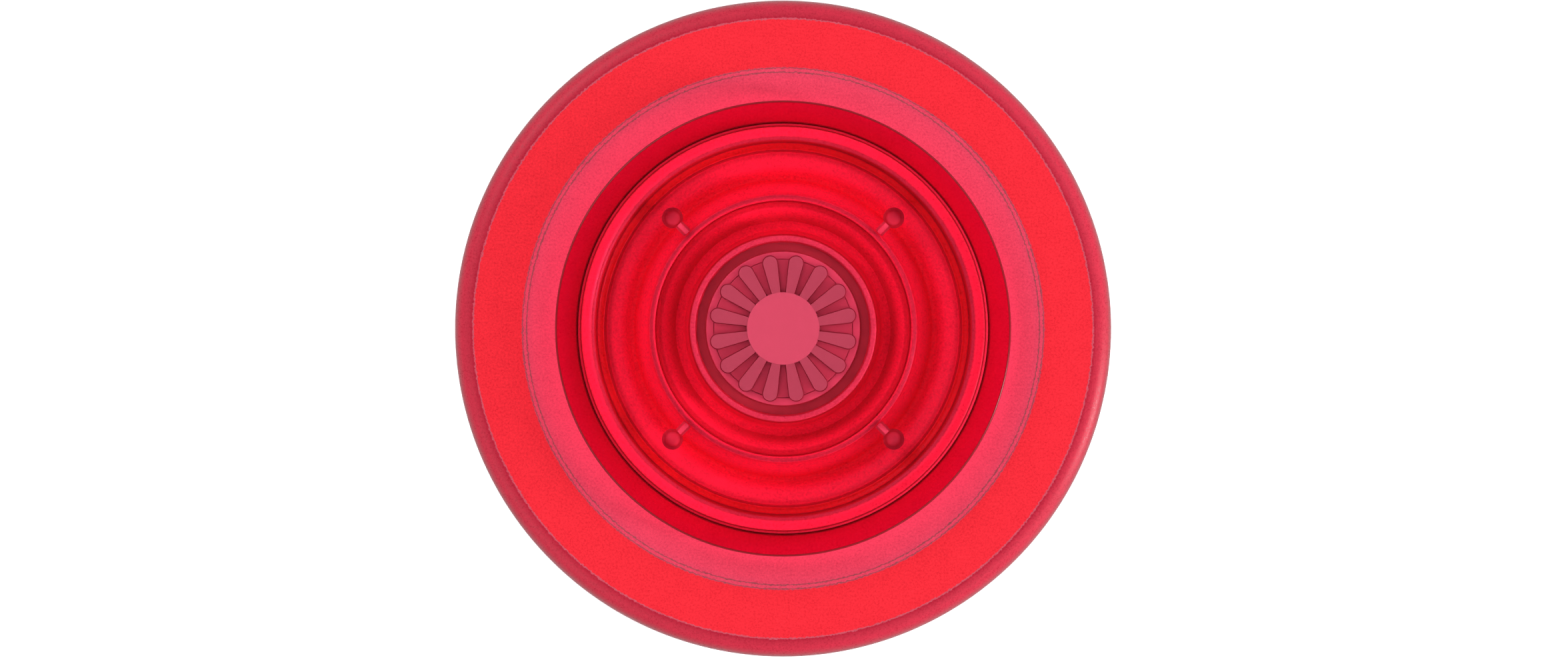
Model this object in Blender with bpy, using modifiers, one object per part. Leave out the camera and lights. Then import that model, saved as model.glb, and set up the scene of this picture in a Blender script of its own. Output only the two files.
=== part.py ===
"""Pop-out phone grip with a ring of magnets in its base, collapsed.

A bellows folded into a shallow base carries a round top that pulls out in two stages and twists off.
The frame has +Z up, with its origin at the centre of the face that sits on the phone. Lengths are in metres.
"""

import math

import bmesh
import bpy

MM = 0.001

# Clearances
FIT = 0.1 * MM  # between two faces that are bonded, pressed or seated together
RUN = 0.3 * MM  # between two pieces that move past each other

# Radial sizes, from the middle outwards
STEM_RADIUS = 3.9 * MM  # hollow stem of the twist connector
STEM_WALL = 1.1 * MM
LUG_REACH = 1.7 * MM  # how far a lug stands out of the stem
PLATE_MARGIN = 0.35 * MM  # connector plate beyond the lug tips
LOCK_RIM_WIDTH = 0.6 * MM
LOCK_FLANGE_WIDTH = 0.95 * MM
HUB_WALL = 0.4 * MM
HUB_LIP_REACH = 0.7 * MM  # lip under the lock ring
HUB_BEAD_REACH = 0.3 * MM  # bead that snaps over the lock ring
HUB_FLARE = 0.95 * MM  # how far the hub's wall spreads towards its foot
INNER_VALLEY_WIDTH = 0.5 * MM
INNER_WEB_RUN = 0.7 * MM
RIDGE_WIDTH = 0.25 * MM
RING_WALL_RUN = 1.6 * MM
OUTER_VALLEY_WIDTH = 0.8 * MM
OUTER_WEB_RUN = 2.1 * MM
COLLAR_WIDTH = 1.45 * MM
FLANGE_REACH = 0.95 * MM
CLAMP_WIDTH = 1.7 * MM
BOWL_WALL = 0.8 * MM
LAND_WIDTH = 2.3 * MM
POCKET_RIB = 0.7 * MM
MAGNET_BAND = 4.2 * MM  # width of the coloured ring over the magnets
RIM_WALL = 1.55 * MM
COVER_REBATE = 0.4 * MM
DISC_OVERHANG = 1.95 * MM  # top disc beyond the bellows' collar
PAD_INSET = 0.4 * MM

# Vertical sizes, from the phone upwards
PAD_THICKNESS = 0.5 * MM
COVER_THICKNESS = 0.7 * MM
MAGNET_THICKNESS = 1.5 * MM
YOKE_THICKNESS = 0.4 * MM
COLOUR_THICKNESS = 0.2 * MM
SKIN_THICKNESS = 0.8 * MM
FLOOR_THICKNESS = 0.6 * MM
LIP_THICKNESS = 0.7 * MM
FLANGE_THICKNESS = 0.6 * MM
RIDGE_STAND = 0.95 * MM  # how far the folded ridges stand above the base
DISC_CLEARANCE = 0.45 * MM  # over the folded ridges
DISC_THICKNESS = 1.7 * MM
FOLD_WALL = 0.5 * MM
LOCK_THICKNESS = 1.0 * MM
LUG_THICKNESS = 0.8 * MM
PLATE_THICKNESS = 0.6 * MM
ROSETTE_HEIGHT = 0.4 * MM
PEG_LENGTH = 2.0 * MM
GUSSET_HEIGHT = 0.9 * MM

# Rounding
RIM_ROUND = 1.5 * MM
BACK_ROUND = 0.4 * MM
DISC_ROUND = 0.45 * MM

# Repeated features
MAGNET_COUNT = 16
MAGNET_GAP = 0.25 * MM
MAGNET_MARGIN = 0.3 * MM  # coloured ring beyond the magnets, each side
PETAL_COUNT = 16
PETAL_REACH = 0.45 * MM  # petal tips beyond the connector plate
PETAL_TIP_RADIUS = 0.63 * MM
PETAL_ROOT_WIDTH = 0.7 * MM
ROSETTE_PAD_RADIUS = 3.15 * MM
PEG_COUNT = 4
PEG_RADIUS = 1.0 * MM
PEG_OFFSET = 0.4 * MM  # how far outside the middle of the valley the pegs hang
GUSSET_WIDTH = 0.9 * MM
LUG_HALF_ANGLE = math.radians(24)
SLOT_HALF_ANGLE = math.radians(27)
STOP_HALF_ANGLE = math.radians(19)
STOP_WIDTH = 1.3 * MM

# How finely the round shapes are divided
TURN_STEPS = 64
ARC_STEPS = 4
FOLD_STEPS = 6
FOLD_BOW = 0.8  # 0 is a straight cone, 1 has a level shoulder halfway
WELD = 0.002 * MM
OVERLAP = 0.2 * MM  # how deep joined shapes reach into each other

# Heights worked out from the sizes above
COVER_LOW = PAD_THICKNESS + FIT
COVER_TOP = COVER_LOW + COVER_THICKNESS
MAGNET_LOW = COVER_TOP + FIT
YOKE_LOW = MAGNET_LOW + MAGNET_THICKNESS + FIT
COLOUR_LOW = YOKE_LOW + YOKE_THICKNESS + FIT
SKIN_LOW = COLOUR_LOW + COLOUR_THICKNESS + FIT
BASE_TOP = SKIN_LOW + SKIN_THICKNESS
FLOOR_LOW = RUN
FLOOR_TOP = FLOOR_LOW + FLOOR_THICKNESS
VALLEY_LOW = FLOOR_TOP + RUN
VALLEY_MID = VALLEY_LOW + FOLD_WALL / 2
RIDGE_TOP = BASE_TOP + RIDGE_STAND
RIDGE_MID = RIDGE_TOP - FOLD_WALL / 2
LIP_LOW = BASE_TOP - LIP_THICKNESS
FLANGE_TOP = LIP_LOW - FIT
FLANGE_LOW = FLANGE_TOP - FLANGE_THICKNESS
DISC_LOW = RIDGE_TOP + DISC_CLEARANCE
DISC_TOP = DISC_LOW + DISC_THICKNESS
ROSETTE_TOP = DISC_LOW - FIT
PLATE_TOP = ROSETTE_TOP - ROSETTE_HEIGHT
PLATE_LOW = PLATE_TOP - PLATE_THICKNESS
LOCK_TOP = PLATE_LOW - FIT
LOCK_LOW = LOCK_TOP - LOCK_THICKNESS
ROSETTE_LOW = PLATE_TOP - OVERLAP
LOCK_RIM_TOP = ROSETTE_LOW - FIT
LUG_TOP = LOCK_LOW - RUN
LUG_LOW = LUG_TOP - LUG_THICKNESS
HUB_TOP = DISC_LOW - RUN
HUB_LIP_TOP = LOCK_LOW - FIT

# Radii worked out from the sizes above
BORE_RADIUS = STEM_RADIUS + RUN
LUG_RADIUS = STEM_RADIUS + LUG_REACH
SLOT_RADIUS = LUG_RADIUS + RUN
PLATE_RADIUS = LUG_RADIUS + PLATE_MARGIN
LOCK_RIM_INNER = PLATE_RADIUS + FIT
LOCK_RIM_OUTER = LOCK_RIM_INNER + LOCK_RIM_WIDTH
LOCK_RADIUS = LOCK_RIM_OUTER + LOCK_FLANGE_WIDTH
HUB_BORE = LOCK_RADIUS + FIT
HUB_RADIUS = HUB_BORE + HUB_WALL
HUB_FOOT = HUB_RADIUS + HUB_FLARE
INNER_VALLEY_OUTER = HUB_FOOT + INNER_VALLEY_WIDTH
HINGE_GAP = FIT + FOLD_WALL / 2  # from the end of one fold to the middle of the next
INNER_WEB_INNER = INNER_VALLEY_OUTER + HINGE_GAP
INNER_WEB_OUTER = INNER_WEB_INNER + INNER_WEB_RUN
RIDGE_INNER = INNER_WEB_OUTER + HINGE_GAP
RIDGE_OUTER = RIDGE_INNER + RIDGE_WIDTH
OUTER_VALLEY_INNER = RIDGE_OUTER + RING_WALL_RUN
OUTER_VALLEY_OUTER = OUTER_VALLEY_INNER + OUTER_VALLEY_WIDTH
OUTER_WEB_INNER = OUTER_VALLEY_OUTER + HINGE_GAP
OUTER_WEB_OUTER = OUTER_WEB_INNER + OUTER_WEB_RUN
COLLAR_INNER = OUTER_WEB_OUTER + HINGE_GAP
COLLAR_OUTER = COLLAR_INNER + COLLAR_WIDTH
OPENING_RADIUS = COLLAR_OUTER + FIT
FLANGE_RADIUS = COLLAR_OUTER + FLANGE_REACH
BOWL_RADIUS = FLANGE_RADIUS + FIT
BOWL_OUTER = BOWL_RADIUS + BOWL_WALL
RIB_INNER = BOWL_OUTER + LAND_WIDTH
RIB_OUTER = RIB_INNER + POCKET_RIB
BAND_INNER = RIB_OUTER + FIT
BAND_OUTER = BAND_INNER + MAGNET_BAND
POCKET_RADIUS = BAND_OUTER + FIT
COVER_RADIUS = POCKET_RADIUS + COVER_REBATE - FIT
REBATE_RADIUS = COVER_RADIUS + FIT
BASE_RADIUS = POCKET_RADIUS + RIM_WALL
DISC_RADIUS = COLLAR_OUTER + DISC_OVERHANG
PEG_CIRCLE = (OUTER_VALLEY_INNER + OUTER_VALLEY_OUTER) / 2 + PEG_OFFSET
GUSSET_INNER = RIDGE_OUTER + FOLD_WALL / 2 + RUN
FLOOR_RADIUS = BOWL_RADIUS - FLOOR_THICKNESS

# The two stages of travel: a folded web turns right over, so its far end moves twice its height
STAGE_TRAVEL = 2 * (RIDGE_MID - VALLEY_MID)


def clear_scene():
    for obj in list(bpy.data.objects):
        bpy.data.objects.remove(obj, do_unlink=True)


def new_collection(name):
    collection = bpy.data.collections.new(name)
    bpy.context.scene.collection.children.link(collection)
    return collection


def plastic(name, colour, roughness, metallic=0.0):
    """A Principled material with one colour."""
    material = bpy.data.materials.new(name)
    material.use_nodes = True
    shader = material.node_tree.nodes["Principled BSDF"]
    shader.inputs["Base Color"].default_value = (*colour, 1.0)
    shader.inputs["Roughness"].default_value = roughness
    shader.inputs["Metallic"].default_value = metallic
    material.diffuse_color = (*colour, 1.0)
    return material


def add_object(name, data, collection, material):
    obj = bpy.data.objects.new(name, data)
    collection.objects.link(obj)
    if material:
        data.materials.append(material)
    return obj


def arc(centre, radius, start, end, steps=ARC_STEPS):
    """Points on an arc in the profile plane, with the angles in degrees from the outward direction."""
    points = []
    for step in range(steps + 1):
        angle = math.radians(start + (end - start) * step / steps)
        points.append((centre[0] + radius * math.cos(angle), centre[1] + radius * math.sin(angle)))
    return points


def turned(name, profile, collection, material, closed=True):
    """A body of revolution about Z. The profile, (radius, height) points, runs down its outer side."""
    mesh = bpy.data.meshes.new(name)
    count = len(profile)
    edges = [(i, i + 1) for i in range(count - 1)]
    if closed:
        edges.append((count - 1, 0))
    mesh.from_pydata([(radius, 0.0, height) for radius, height in profile], edges, [])
    obj = add_object(name, mesh, collection, material)
    screw = obj.modifiers.new("turn", "SCREW")
    screw.axis = "Z"
    screw.steps = screw.render_steps = TURN_STEPS
    screw.use_merge_vertices = True
    screw.merge_threshold = WELD
    screw.use_smooth_shade = True
    return obj


def turned_sheet(name, midline, thickness, collection, material):
    """A turned sheet of even thickness, whose middle surface is the open midline turned about Z."""
    obj = turned(name, midline, collection, material, closed=False)
    solidify = obj.modifiers.new("wall", "SOLIDIFY")
    solidify.thickness = thickness
    solidify.offset = 0.0
    solidify.use_even_offset = True
    return obj


def fold_curve(start, end):
    """A folded wall's middle line, from start to end, steep at both hinges and bowed into a shoulder between."""
    points = []
    for step in range(FOLD_STEPS + 1):
        t = step / FOLD_STEPS
        drop = t + FOLD_BOW * math.sin(2 * math.pi * t) / (2 * math.pi)
        points.append((start[0] + (end[0] - start[0]) * t, start[1] + (end[1] - start[1]) * drop))
    return points


def sector(inner, outer, centre_angle, half_angle, steps=ARC_STEPS):
    """The outline of a ring sector, as (x, y) points."""
    points = []
    for radius, turn in ((outer, 1), (inner, -1)):
        for step in range(steps + 1):
            angle = centre_angle + turn * half_angle * (2 * step / steps - 1)
            points.append((radius * math.cos(angle), radius * math.sin(angle)))
    return points


def slab(name, outline, low, high, collection, material):
    """A flat plate with the given outline between two heights, as a mesh that a Boolean can use."""
    curve = bpy.data.curves.new(name, "CURVE")
    curve.dimensions = "2D"
    curve.fill_mode = "BOTH"
    curve.extrude = (high - low) / 2
    spline = curve.splines.new("POLY")
    spline.points.add(len(outline) - 1)
    for point, (x, y) in zip(spline.points, outline):
        point.co = (x, y, 0.0, 1.0)
    spline.use_cyclic_u = True
    flat = bpy.data.objects.new(name + "_outline", curve)
    flat.location.z = (low + high) / 2
    collection.objects.link(flat)
    bpy.context.view_layer.update()
    mesh = bpy.data.meshes.new_from_object(flat.evaluated_get(bpy.context.evaluated_depsgraph_get()))
    place = flat.matrix_world.copy()
    bpy.data.objects.remove(flat, do_unlink=True)
    weld_caps(mesh)
    mesh.name = name
    obj = add_object(name, mesh, collection, material)
    obj.matrix_world = place
    return obj


def weld_caps(mesh):
    shape = bmesh.new()
    shape.from_mesh(mesh)
    bmesh.ops.remove_doubles(shape, verts=shape.verts, dist=WELD)
    bmesh.ops.recalc_face_normals(shape, faces=shape.faces)
    shape.to_mesh(mesh)
    shape.free()


def combine(target, tool, operation):
    """Joins a helper shape to the target, or cuts it away, with a live Boolean."""
    tool.hide_render = True
    tool.display_type = "WIRE"
    boolean = target.modifiers.new(tool.name, "BOOLEAN")
    boolean.operation = operation
    boolean.solver = "EXACT"
    boolean.object = tool


def front_shell(parts, material):
    """Moulded tray of the base: rounded rim, magnet pocket, land and the bowl that the bellows folds into."""
    profile = arc((BASE_RADIUS - RIM_ROUND, BASE_TOP - RIM_ROUND), RIM_ROUND, 90, 0)
    profile += arc((BASE_RADIUS - BACK_ROUND, COVER_LOW + BACK_ROUND), BACK_ROUND, 0, -90, 2)
    profile += [
        (REBATE_RADIUS, COVER_LOW),
        (REBATE_RADIUS, COVER_TOP + FIT),
        (POCKET_RADIUS, COVER_TOP + FIT),
        (POCKET_RADIUS, SKIN_LOW),
        (RIB_OUTER, SKIN_LOW),
        (RIB_OUTER, COVER_TOP + FIT),
        (RIB_INNER, COVER_TOP + FIT),
        (RIB_INNER, SKIN_LOW),
        (BOWL_OUTER, SKIN_LOW),
        (BOWL_OUTER, COVER_TOP + FIT),
        (BOWL_RADIUS, COVER_TOP + FIT),
        (BOWL_RADIUS, LIP_LOW),
        (OPENING_RADIUS, LIP_LOW),
        (OPENING_RADIUS, BASE_TOP),
    ]
    return turned("front_shell", profile, parts, material)


def flat_ring(name, inner, outer, low, thickness, parts, material):
    profile = [(outer, low + thickness), (outer, low), (inner, low), (inner, low + thickness)]
    return turned(name, profile, parts, material)


def magnets(parts, material):
    """The ring of arc magnets, each its own piece, under the steel yoke."""
    inner = BAND_INNER + MAGNET_MARGIN
    outer = BAND_OUTER - MAGNET_MARGIN
    half_angle = math.pi / MAGNET_COUNT - MAGNET_GAP / 2 / inner
    for index in range(MAGNET_COUNT):
        middle = 2 * math.pi * (index + 0.5) / MAGNET_COUNT
        outline = sector(inner, outer, middle, half_angle)
        slab(f"magnet_{index + 1:02d}", outline, MAGNET_LOW, MAGNET_LOW + MAGNET_THICKNESS, parts, material)


def rear_cover(parts, material):
    """Back plate: closes the magnet pocket and makes the bowl's floor."""
    profile = [
        (0.0, FLOOR_TOP),
        (BOWL_RADIUS, FLOOR_TOP),
        (BOWL_RADIUS, COVER_TOP),
        (COVER_RADIUS, COVER_TOP),
        (COVER_RADIUS, COVER_LOW),
        (FLOOR_RADIUS, COVER_LOW),
        (FLOOR_RADIUS, FLOOR_LOW),
        (0.0, FLOOR_LOW),
    ]
    return turned("rear_cover", profile, parts, material, closed=False)


def grip_pad(parts, material):
    """Soft ring that holds the phone's back without sliding."""
    inner = FLOOR_RADIUS + PAD_INSET
    return flat_ring("grip_pad", inner, COVER_RADIUS - PAD_INSET, 0.0, PAD_THICKNESS, parts, material)


def clamp_ring(parts, material):
    """Presses the bellows' flange up against the lip of the bowl."""
    low = FLOOR_TOP + FIT
    inner = FLANGE_RADIUS - CLAMP_WIDTH
    return flat_ring("clamp_ring", inner, FLANGE_RADIUS, low, FLANGE_LOW - FIT - low, parts, material)


def accordion_collar(parts, material):
    """Fixed outer end of the bellows: a flange inside the bowl and a flat ridge above its lip."""
    profile = [
        (COLLAR_OUTER, RIDGE_TOP),
        (COLLAR_OUTER, FLANGE_TOP),
        (FLANGE_RADIUS, FLANGE_TOP),
        (FLANGE_RADIUS, FLANGE_LOW),
        (COLLAR_INNER, FLANGE_LOW),
        (COLLAR_INNER, RIDGE_TOP),
    ]
    return turned("accordion_collar", profile, parts, material)


def outer_fold_web(parts, material):
    """Flexible web of the first stage, folded down from the collar into the outer valley."""
    midline = fold_curve((OUTER_WEB_OUTER, RIDGE_MID), (OUTER_WEB_INNER, VALLEY_MID))
    return turned_sheet("outer_fold_web", midline, FOLD_WALL, parts, material)


def fold_ring(parts, material):
    """Stiff middle ring of the bellows: the outer valley's floor, a rising wall and the ridge."""
    midline = [(OUTER_VALLEY_OUTER, VALLEY_MID)]
    midline += fold_curve((OUTER_VALLEY_INNER, VALLEY_MID), (RIDGE_OUTER, RIDGE_MID))
    midline.append((RIDGE_INNER, RIDGE_MID))
    return turned_sheet("fold_ring", midline, FOLD_WALL, parts, material)


def inner_fold_web(parts, material):
    """Flexible web of the second stage, folded down from the ridge into the inner valley."""
    midline = fold_curve((INNER_WEB_OUTER, RIDGE_MID), (INNER_WEB_INNER, VALLEY_MID))
    return turned_sheet("inner_fold_web", midline, FOLD_WALL, parts, material)


def hub_cup(parts, material):
    """Narrow inner end of the bellows, with a lip and a bead that hold the lock ring."""
    valley_top = VALLEY_LOW + FOLD_WALL
    profile = [
        (HUB_RADIUS, HUB_TOP),
        (HUB_RADIUS, LOCK_TOP),
        (HUB_FOOT, valley_top),
        (INNER_VALLEY_OUTER, valley_top),
        (INNER_VALLEY_OUTER, VALLEY_LOW),
        (HUB_FOOT - HUB_WALL, VALLEY_LOW),
        (HUB_BORE, HUB_LIP_TOP - HUB_LIP_REACH),
        (HUB_BORE - HUB_LIP_REACH, HUB_LIP_TOP - HUB_LIP_REACH),
        (HUB_BORE - HUB_LIP_REACH, HUB_LIP_TOP),
        (HUB_BORE, HUB_LIP_TOP),
        (HUB_BORE, LOCK_TOP + FIT),
        (HUB_BORE - HUB_BEAD_REACH, LOCK_TOP + 2 * FIT),
        (HUB_BORE - HUB_BEAD_REACH, HUB_TOP - HUB_BEAD_REACH),
        (HUB_BORE, HUB_TOP),
    ]
    return turned("hub_cup", profile, parts, material)


def lock_ring(parts, cutters, material):
    """Rigid bayonet ring in the hub: two entry slots for the lugs and two stops under the plate."""
    profile = [
        (LOCK_RIM_OUTER, LOCK_RIM_TOP),
        (LOCK_RIM_OUTER, LOCK_TOP),
        (LOCK_RADIUS, LOCK_TOP),
        (LOCK_RADIUS, LOCK_LOW),
        (BORE_RADIUS, LOCK_LOW),
        (BORE_RADIUS, LOCK_TOP),
        (LOCK_RIM_INNER, LOCK_TOP),
        (LOCK_RIM_INNER, LOCK_RIM_TOP),
    ]
    ring = turned("lock_ring", profile, parts, material)
    for side, name in enumerate(("a", "b")):
        half_turn = math.pi * side
        slot = sector(STEM_RADIUS, SLOT_RADIUS, math.pi / 2 + half_turn, SLOT_HALF_ANGLE)
        tool = slab(f"entry_slot_{name}", slot, LOCK_LOW - OVERLAP, LOCK_TOP + OVERLAP, cutters, None)
        combine(ring, tool, "DIFFERENCE")
        stop_inner = BORE_RADIUS + OVERLAP
        stop = sector(stop_inner, stop_inner + STOP_WIDTH, 0.75 * math.pi + half_turn, STOP_HALF_ANGLE)
        tool = slab(f"stop_block_{name}", stop, LUG_LOW, LOCK_LOW + OVERLAP, cutters, None)
        combine(ring, tool, "UNION")
    return ring


def petal(angle):
    """One petal's outline, from its root on the pad out round its tip and back, as (x, y) points."""
    tip = PLATE_RADIUS + PETAL_REACH - PETAL_TIP_RADIUS
    root = ROSETTE_PAD_RADIUS - OVERLAP
    outline = [(root, -PETAL_ROOT_WIDTH / 2)]
    outline += [(tip + x, y) for x, y in arc((0.0, 0.0), PETAL_TIP_RADIUS, -90, 90)]
    outline.append((root, PETAL_ROOT_WIDTH / 2))
    turned_points = []
    for x, y in outline:
        turned_points.append((x * math.cos(angle) - y * math.sin(angle), x * math.sin(angle) + y * math.cos(angle)))
    return turned_points


def twist_connector(parts, cutters, material):
    """Bayonet connector under the top disc: hollow stem, two lugs, and a rosette of petals bonded to the disc."""
    profile = [
        (0.0, PLATE_TOP),
        (PLATE_RADIUS, PLATE_TOP),
        (PLATE_RADIUS, PLATE_LOW),
        (STEM_RADIUS, PLATE_LOW),
        (STEM_RADIUS, LUG_LOW),
        (STEM_RADIUS - STEM_WALL, LUG_LOW),
        (STEM_RADIUS - STEM_WALL, PLATE_LOW),
        (0.0, PLATE_LOW),
    ]
    connector = turned("twist_connector", profile, parts, material, closed=False)
    for side, name in enumerate(("a", "b")):
        outline = sector(STEM_RADIUS - STEM_WALL / 2, LUG_RADIUS, math.pi * side, LUG_HALF_ANGLE)
        combine(connector, slab(f"lug_{name}", outline, LUG_LOW + FIT, LUG_TOP, cutters, None), "UNION")
    rosette = []
    for index in range(PETAL_COUNT):
        rosette += petal(2 * math.pi * (index + 0.5) / PETAL_COUNT)
    combine(connector, slab("rosette", rosette, ROSETTE_LOW, ROSETTE_TOP, cutters, None), "UNION")
    return connector


def top_disc(parts, cutters, material):
    """Round top that the fingers hold, with four ball-footed pegs that sit in the folded outer valley."""
    profile = [(0.0, DISC_TOP)]
    profile += arc((DISC_RADIUS - DISC_ROUND, DISC_TOP - DISC_ROUND), DISC_ROUND, 90, 0, 3)
    profile += arc((DISC_RADIUS - DISC_ROUND / 2, DISC_LOW + DISC_ROUND / 2), DISC_ROUND / 2, 0, -90, 2)
    profile.append((0.0, DISC_LOW))
    disc = turned("top_disc", profile, parts, material, closed=False)
    peg_low = DISC_LOW - PEG_LENGTH
    ball = [(0.0, DISC_LOW + OVERLAP)] + arc((0.0, peg_low + PEG_RADIUS), PEG_RADIUS, 0, -90)
    ball.insert(1, (PEG_RADIUS, DISC_LOW + OVERLAP))
    gusset_corners = ((GUSSET_INNER, -1), (PEG_CIRCLE, -1), (PEG_CIRCLE, 1), (GUSSET_INNER, 1))
    for index in range(PEG_COUNT):
        angle = 2 * math.pi * (index + 0.5) / PEG_COUNT
        peg = turned(f"peg_{index + 1}", ball, cutters, None, closed=False)
        peg.modifiers["turn"].steps = peg.modifiers["turn"].render_steps = TURN_STEPS // 3
        peg.location = (PEG_CIRCLE * math.cos(angle), PEG_CIRCLE * math.sin(angle), 0.0)
        combine(disc, peg, "UNION")
        half_width = GUSSET_WIDTH / 2
        outline = [(radius, side * half_width) for radius, side in gusset_corners]
        gusset = slab(f"gusset_{index + 1}", outline, DISC_LOW - GUSSET_HEIGHT, DISC_LOW + OVERLAP, cutters, None)
        gusset.rotation_euler.z = angle
        combine(disc, gusset, "UNION")
    return disc


def build():
    clear_scene()
    parts = new_collection("pop_out_phone_grip")
    cutters = new_collection("joining_and_cutting_shapes")

    frosted_red = plastic("frosted_red_plastic", (0.86, 0.05, 0.10), 0.45)
    clear_red = plastic("clear_red_plastic", (0.80, 0.01, 0.04), 0.1)
    soft_red = plastic("soft_red_bellows", (0.82, 0.02, 0.06), 0.5)
    band_red = plastic("bright_red_band", (0.95, 0.03, 0.05), 0.5)
    pad_red = plastic("red_grip_rubber", (0.60, 0.02, 0.05), 0.7)
    steel = plastic("zinc_plated_steel", (0.60, 0.61, 0.63), 0.3, 1.0)
    nickel = plastic("nickel_plated_magnet", (0.70, 0.69, 0.66), 0.22, 1.0)

    front_shell(parts, frosted_red)
    flat_ring("colour_ring", BAND_INNER, BAND_OUTER, COLOUR_LOW, COLOUR_THICKNESS, parts, band_red)
    flat_ring("steel_yoke", BAND_INNER, BAND_OUTER, YOKE_LOW, YOKE_THICKNESS, parts, steel)
    magnets(parts, nickel)
    rear_cover(parts, frosted_red)
    grip_pad(parts, pad_red)
    clamp_ring(parts, frosted_red)
    accordion_collar(parts, soft_red)
    outer_fold_web(parts, soft_red)
    fold_ring(parts, soft_red)
    inner_fold_web(parts, soft_red)
    hub_cup(parts, soft_red)
    lock_ring(parts, cutters, frosted_red)
    twist_connector(parts, cutters, frosted_red)
    top_disc(parts, cutters, clear_red)


build()
print(f"each stage travels {STAGE_TRAVEL / MM:.2f} mm; base radius {BASE_RADIUS / MM:.2f} mm; height {DISC_TOP / MM:.2f} mm")
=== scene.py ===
# %% [markdown]
# # A pop-out phone grip in translucent red plastic
#
# The object is a shallow round base with a ring of magnets, a soft bellows folded up inside it, and
# a clear round top that is pulled out in two stages. This lesson builds its visible pieces one by
# one around a measured frame: the CAD solids give every size and place, and the pieces here give
# the smooth curves and the finishes.
#
# First come the frame and a few helpers. Every length below is in metres, so MM turns a number into
# millimetres.

# %% Load the frame
import math

import bmesh
import bpy
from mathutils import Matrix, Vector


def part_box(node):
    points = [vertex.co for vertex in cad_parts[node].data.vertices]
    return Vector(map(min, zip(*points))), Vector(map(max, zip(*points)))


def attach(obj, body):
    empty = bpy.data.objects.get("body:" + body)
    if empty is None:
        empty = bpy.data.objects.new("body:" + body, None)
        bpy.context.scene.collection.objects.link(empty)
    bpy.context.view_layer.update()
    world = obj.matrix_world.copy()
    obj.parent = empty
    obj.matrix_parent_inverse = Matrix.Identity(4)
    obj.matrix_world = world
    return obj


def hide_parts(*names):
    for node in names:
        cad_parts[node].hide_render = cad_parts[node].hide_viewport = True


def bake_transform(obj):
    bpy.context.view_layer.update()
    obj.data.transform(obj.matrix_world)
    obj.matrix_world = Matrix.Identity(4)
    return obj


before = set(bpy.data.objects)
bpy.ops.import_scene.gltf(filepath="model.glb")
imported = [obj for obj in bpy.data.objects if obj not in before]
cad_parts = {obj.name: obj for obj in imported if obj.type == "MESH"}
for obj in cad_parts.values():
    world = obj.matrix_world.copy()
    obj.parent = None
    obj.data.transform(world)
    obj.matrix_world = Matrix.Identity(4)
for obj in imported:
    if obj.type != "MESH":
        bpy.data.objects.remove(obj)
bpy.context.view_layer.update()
MM = 0.001

# %% [markdown]
# ## Sizes
#
# A round piece is described by its radii and heights. The outer radius of each piece and its lowest
# and highest point come from its CAD solid. What a box can't say, such as the radius of an opening,
# is given here once.


# %% Read radii and heights from the solids
def outer_radius(node):
    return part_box(node)[1].x


def low(node):
    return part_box(node)[0].z


def top(node):
    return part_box(node)[1].z


FIT = 0.1 * MM  # gap between pieces that are seated together
CRISP = 0.05 * MM  # corner radius where a corner should look sharp
BAND_WIDTH = 4.2 * MM
LIP_REACH = 0.85 * MM
CONNECTOR_DEPTH = 3.3 * MM
BASE_RADIUS = outer_radius("front_shell")
BAND_OUTER = outer_radius("colour_ring")
BAND_INNER = BAND_OUTER - BAND_WIDTH
COVER_RADIUS = outer_radius("rear_cover")
FLANGE_RADIUS = outer_radius("accordion_collar")
BOWL_RADIUS = FLANGE_RADIUS + FIT
OPENING_RADIUS = FLANGE_RADIUS - LIP_REACH
COLLAR_RADIUS = OPENING_RADIUS - FIT
DISC_RADIUS = outer_radius("top_disc")
DISC_LOW = low("twist_connector") + CONNECTOR_DEPTH
DISC_TOP = top("top_disc")
BASE_TOP = top("front_shell")
VALLEY_LOW = low("fold_ring")
RIDGE_TOP = top("fold_ring")
print(f"radius of the base {BASE_RADIUS / MM:.2f} mm, of the disc {DISC_RADIUS / MM:.2f} mm")
print(f"height when folded {DISC_TOP / MM:.2f} mm")

# %% [markdown]
# ## Helpers for turned pieces
#
# Nearly everything here is turned: a profile swept once round the Z axis. A Screw modifier could do
# that, but a moulded piece also needs a small radius on every corner to catch the light, and flat
# faces that shade flat right up to that radius. So the profile's corners are rounded first, each
# arc gets a support point on either side, and the finished profile is swept into a closed mesh,
# ring by ring.

# %% Round the corners of a profile
ROUND_STEPS = 5
SUPPORT_GAP = 0.04 * MM
NEARLY_STRAIGHT = math.radians(88)
ARC_SHARE = 0.45  # how much of a side an arc may use up


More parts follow.
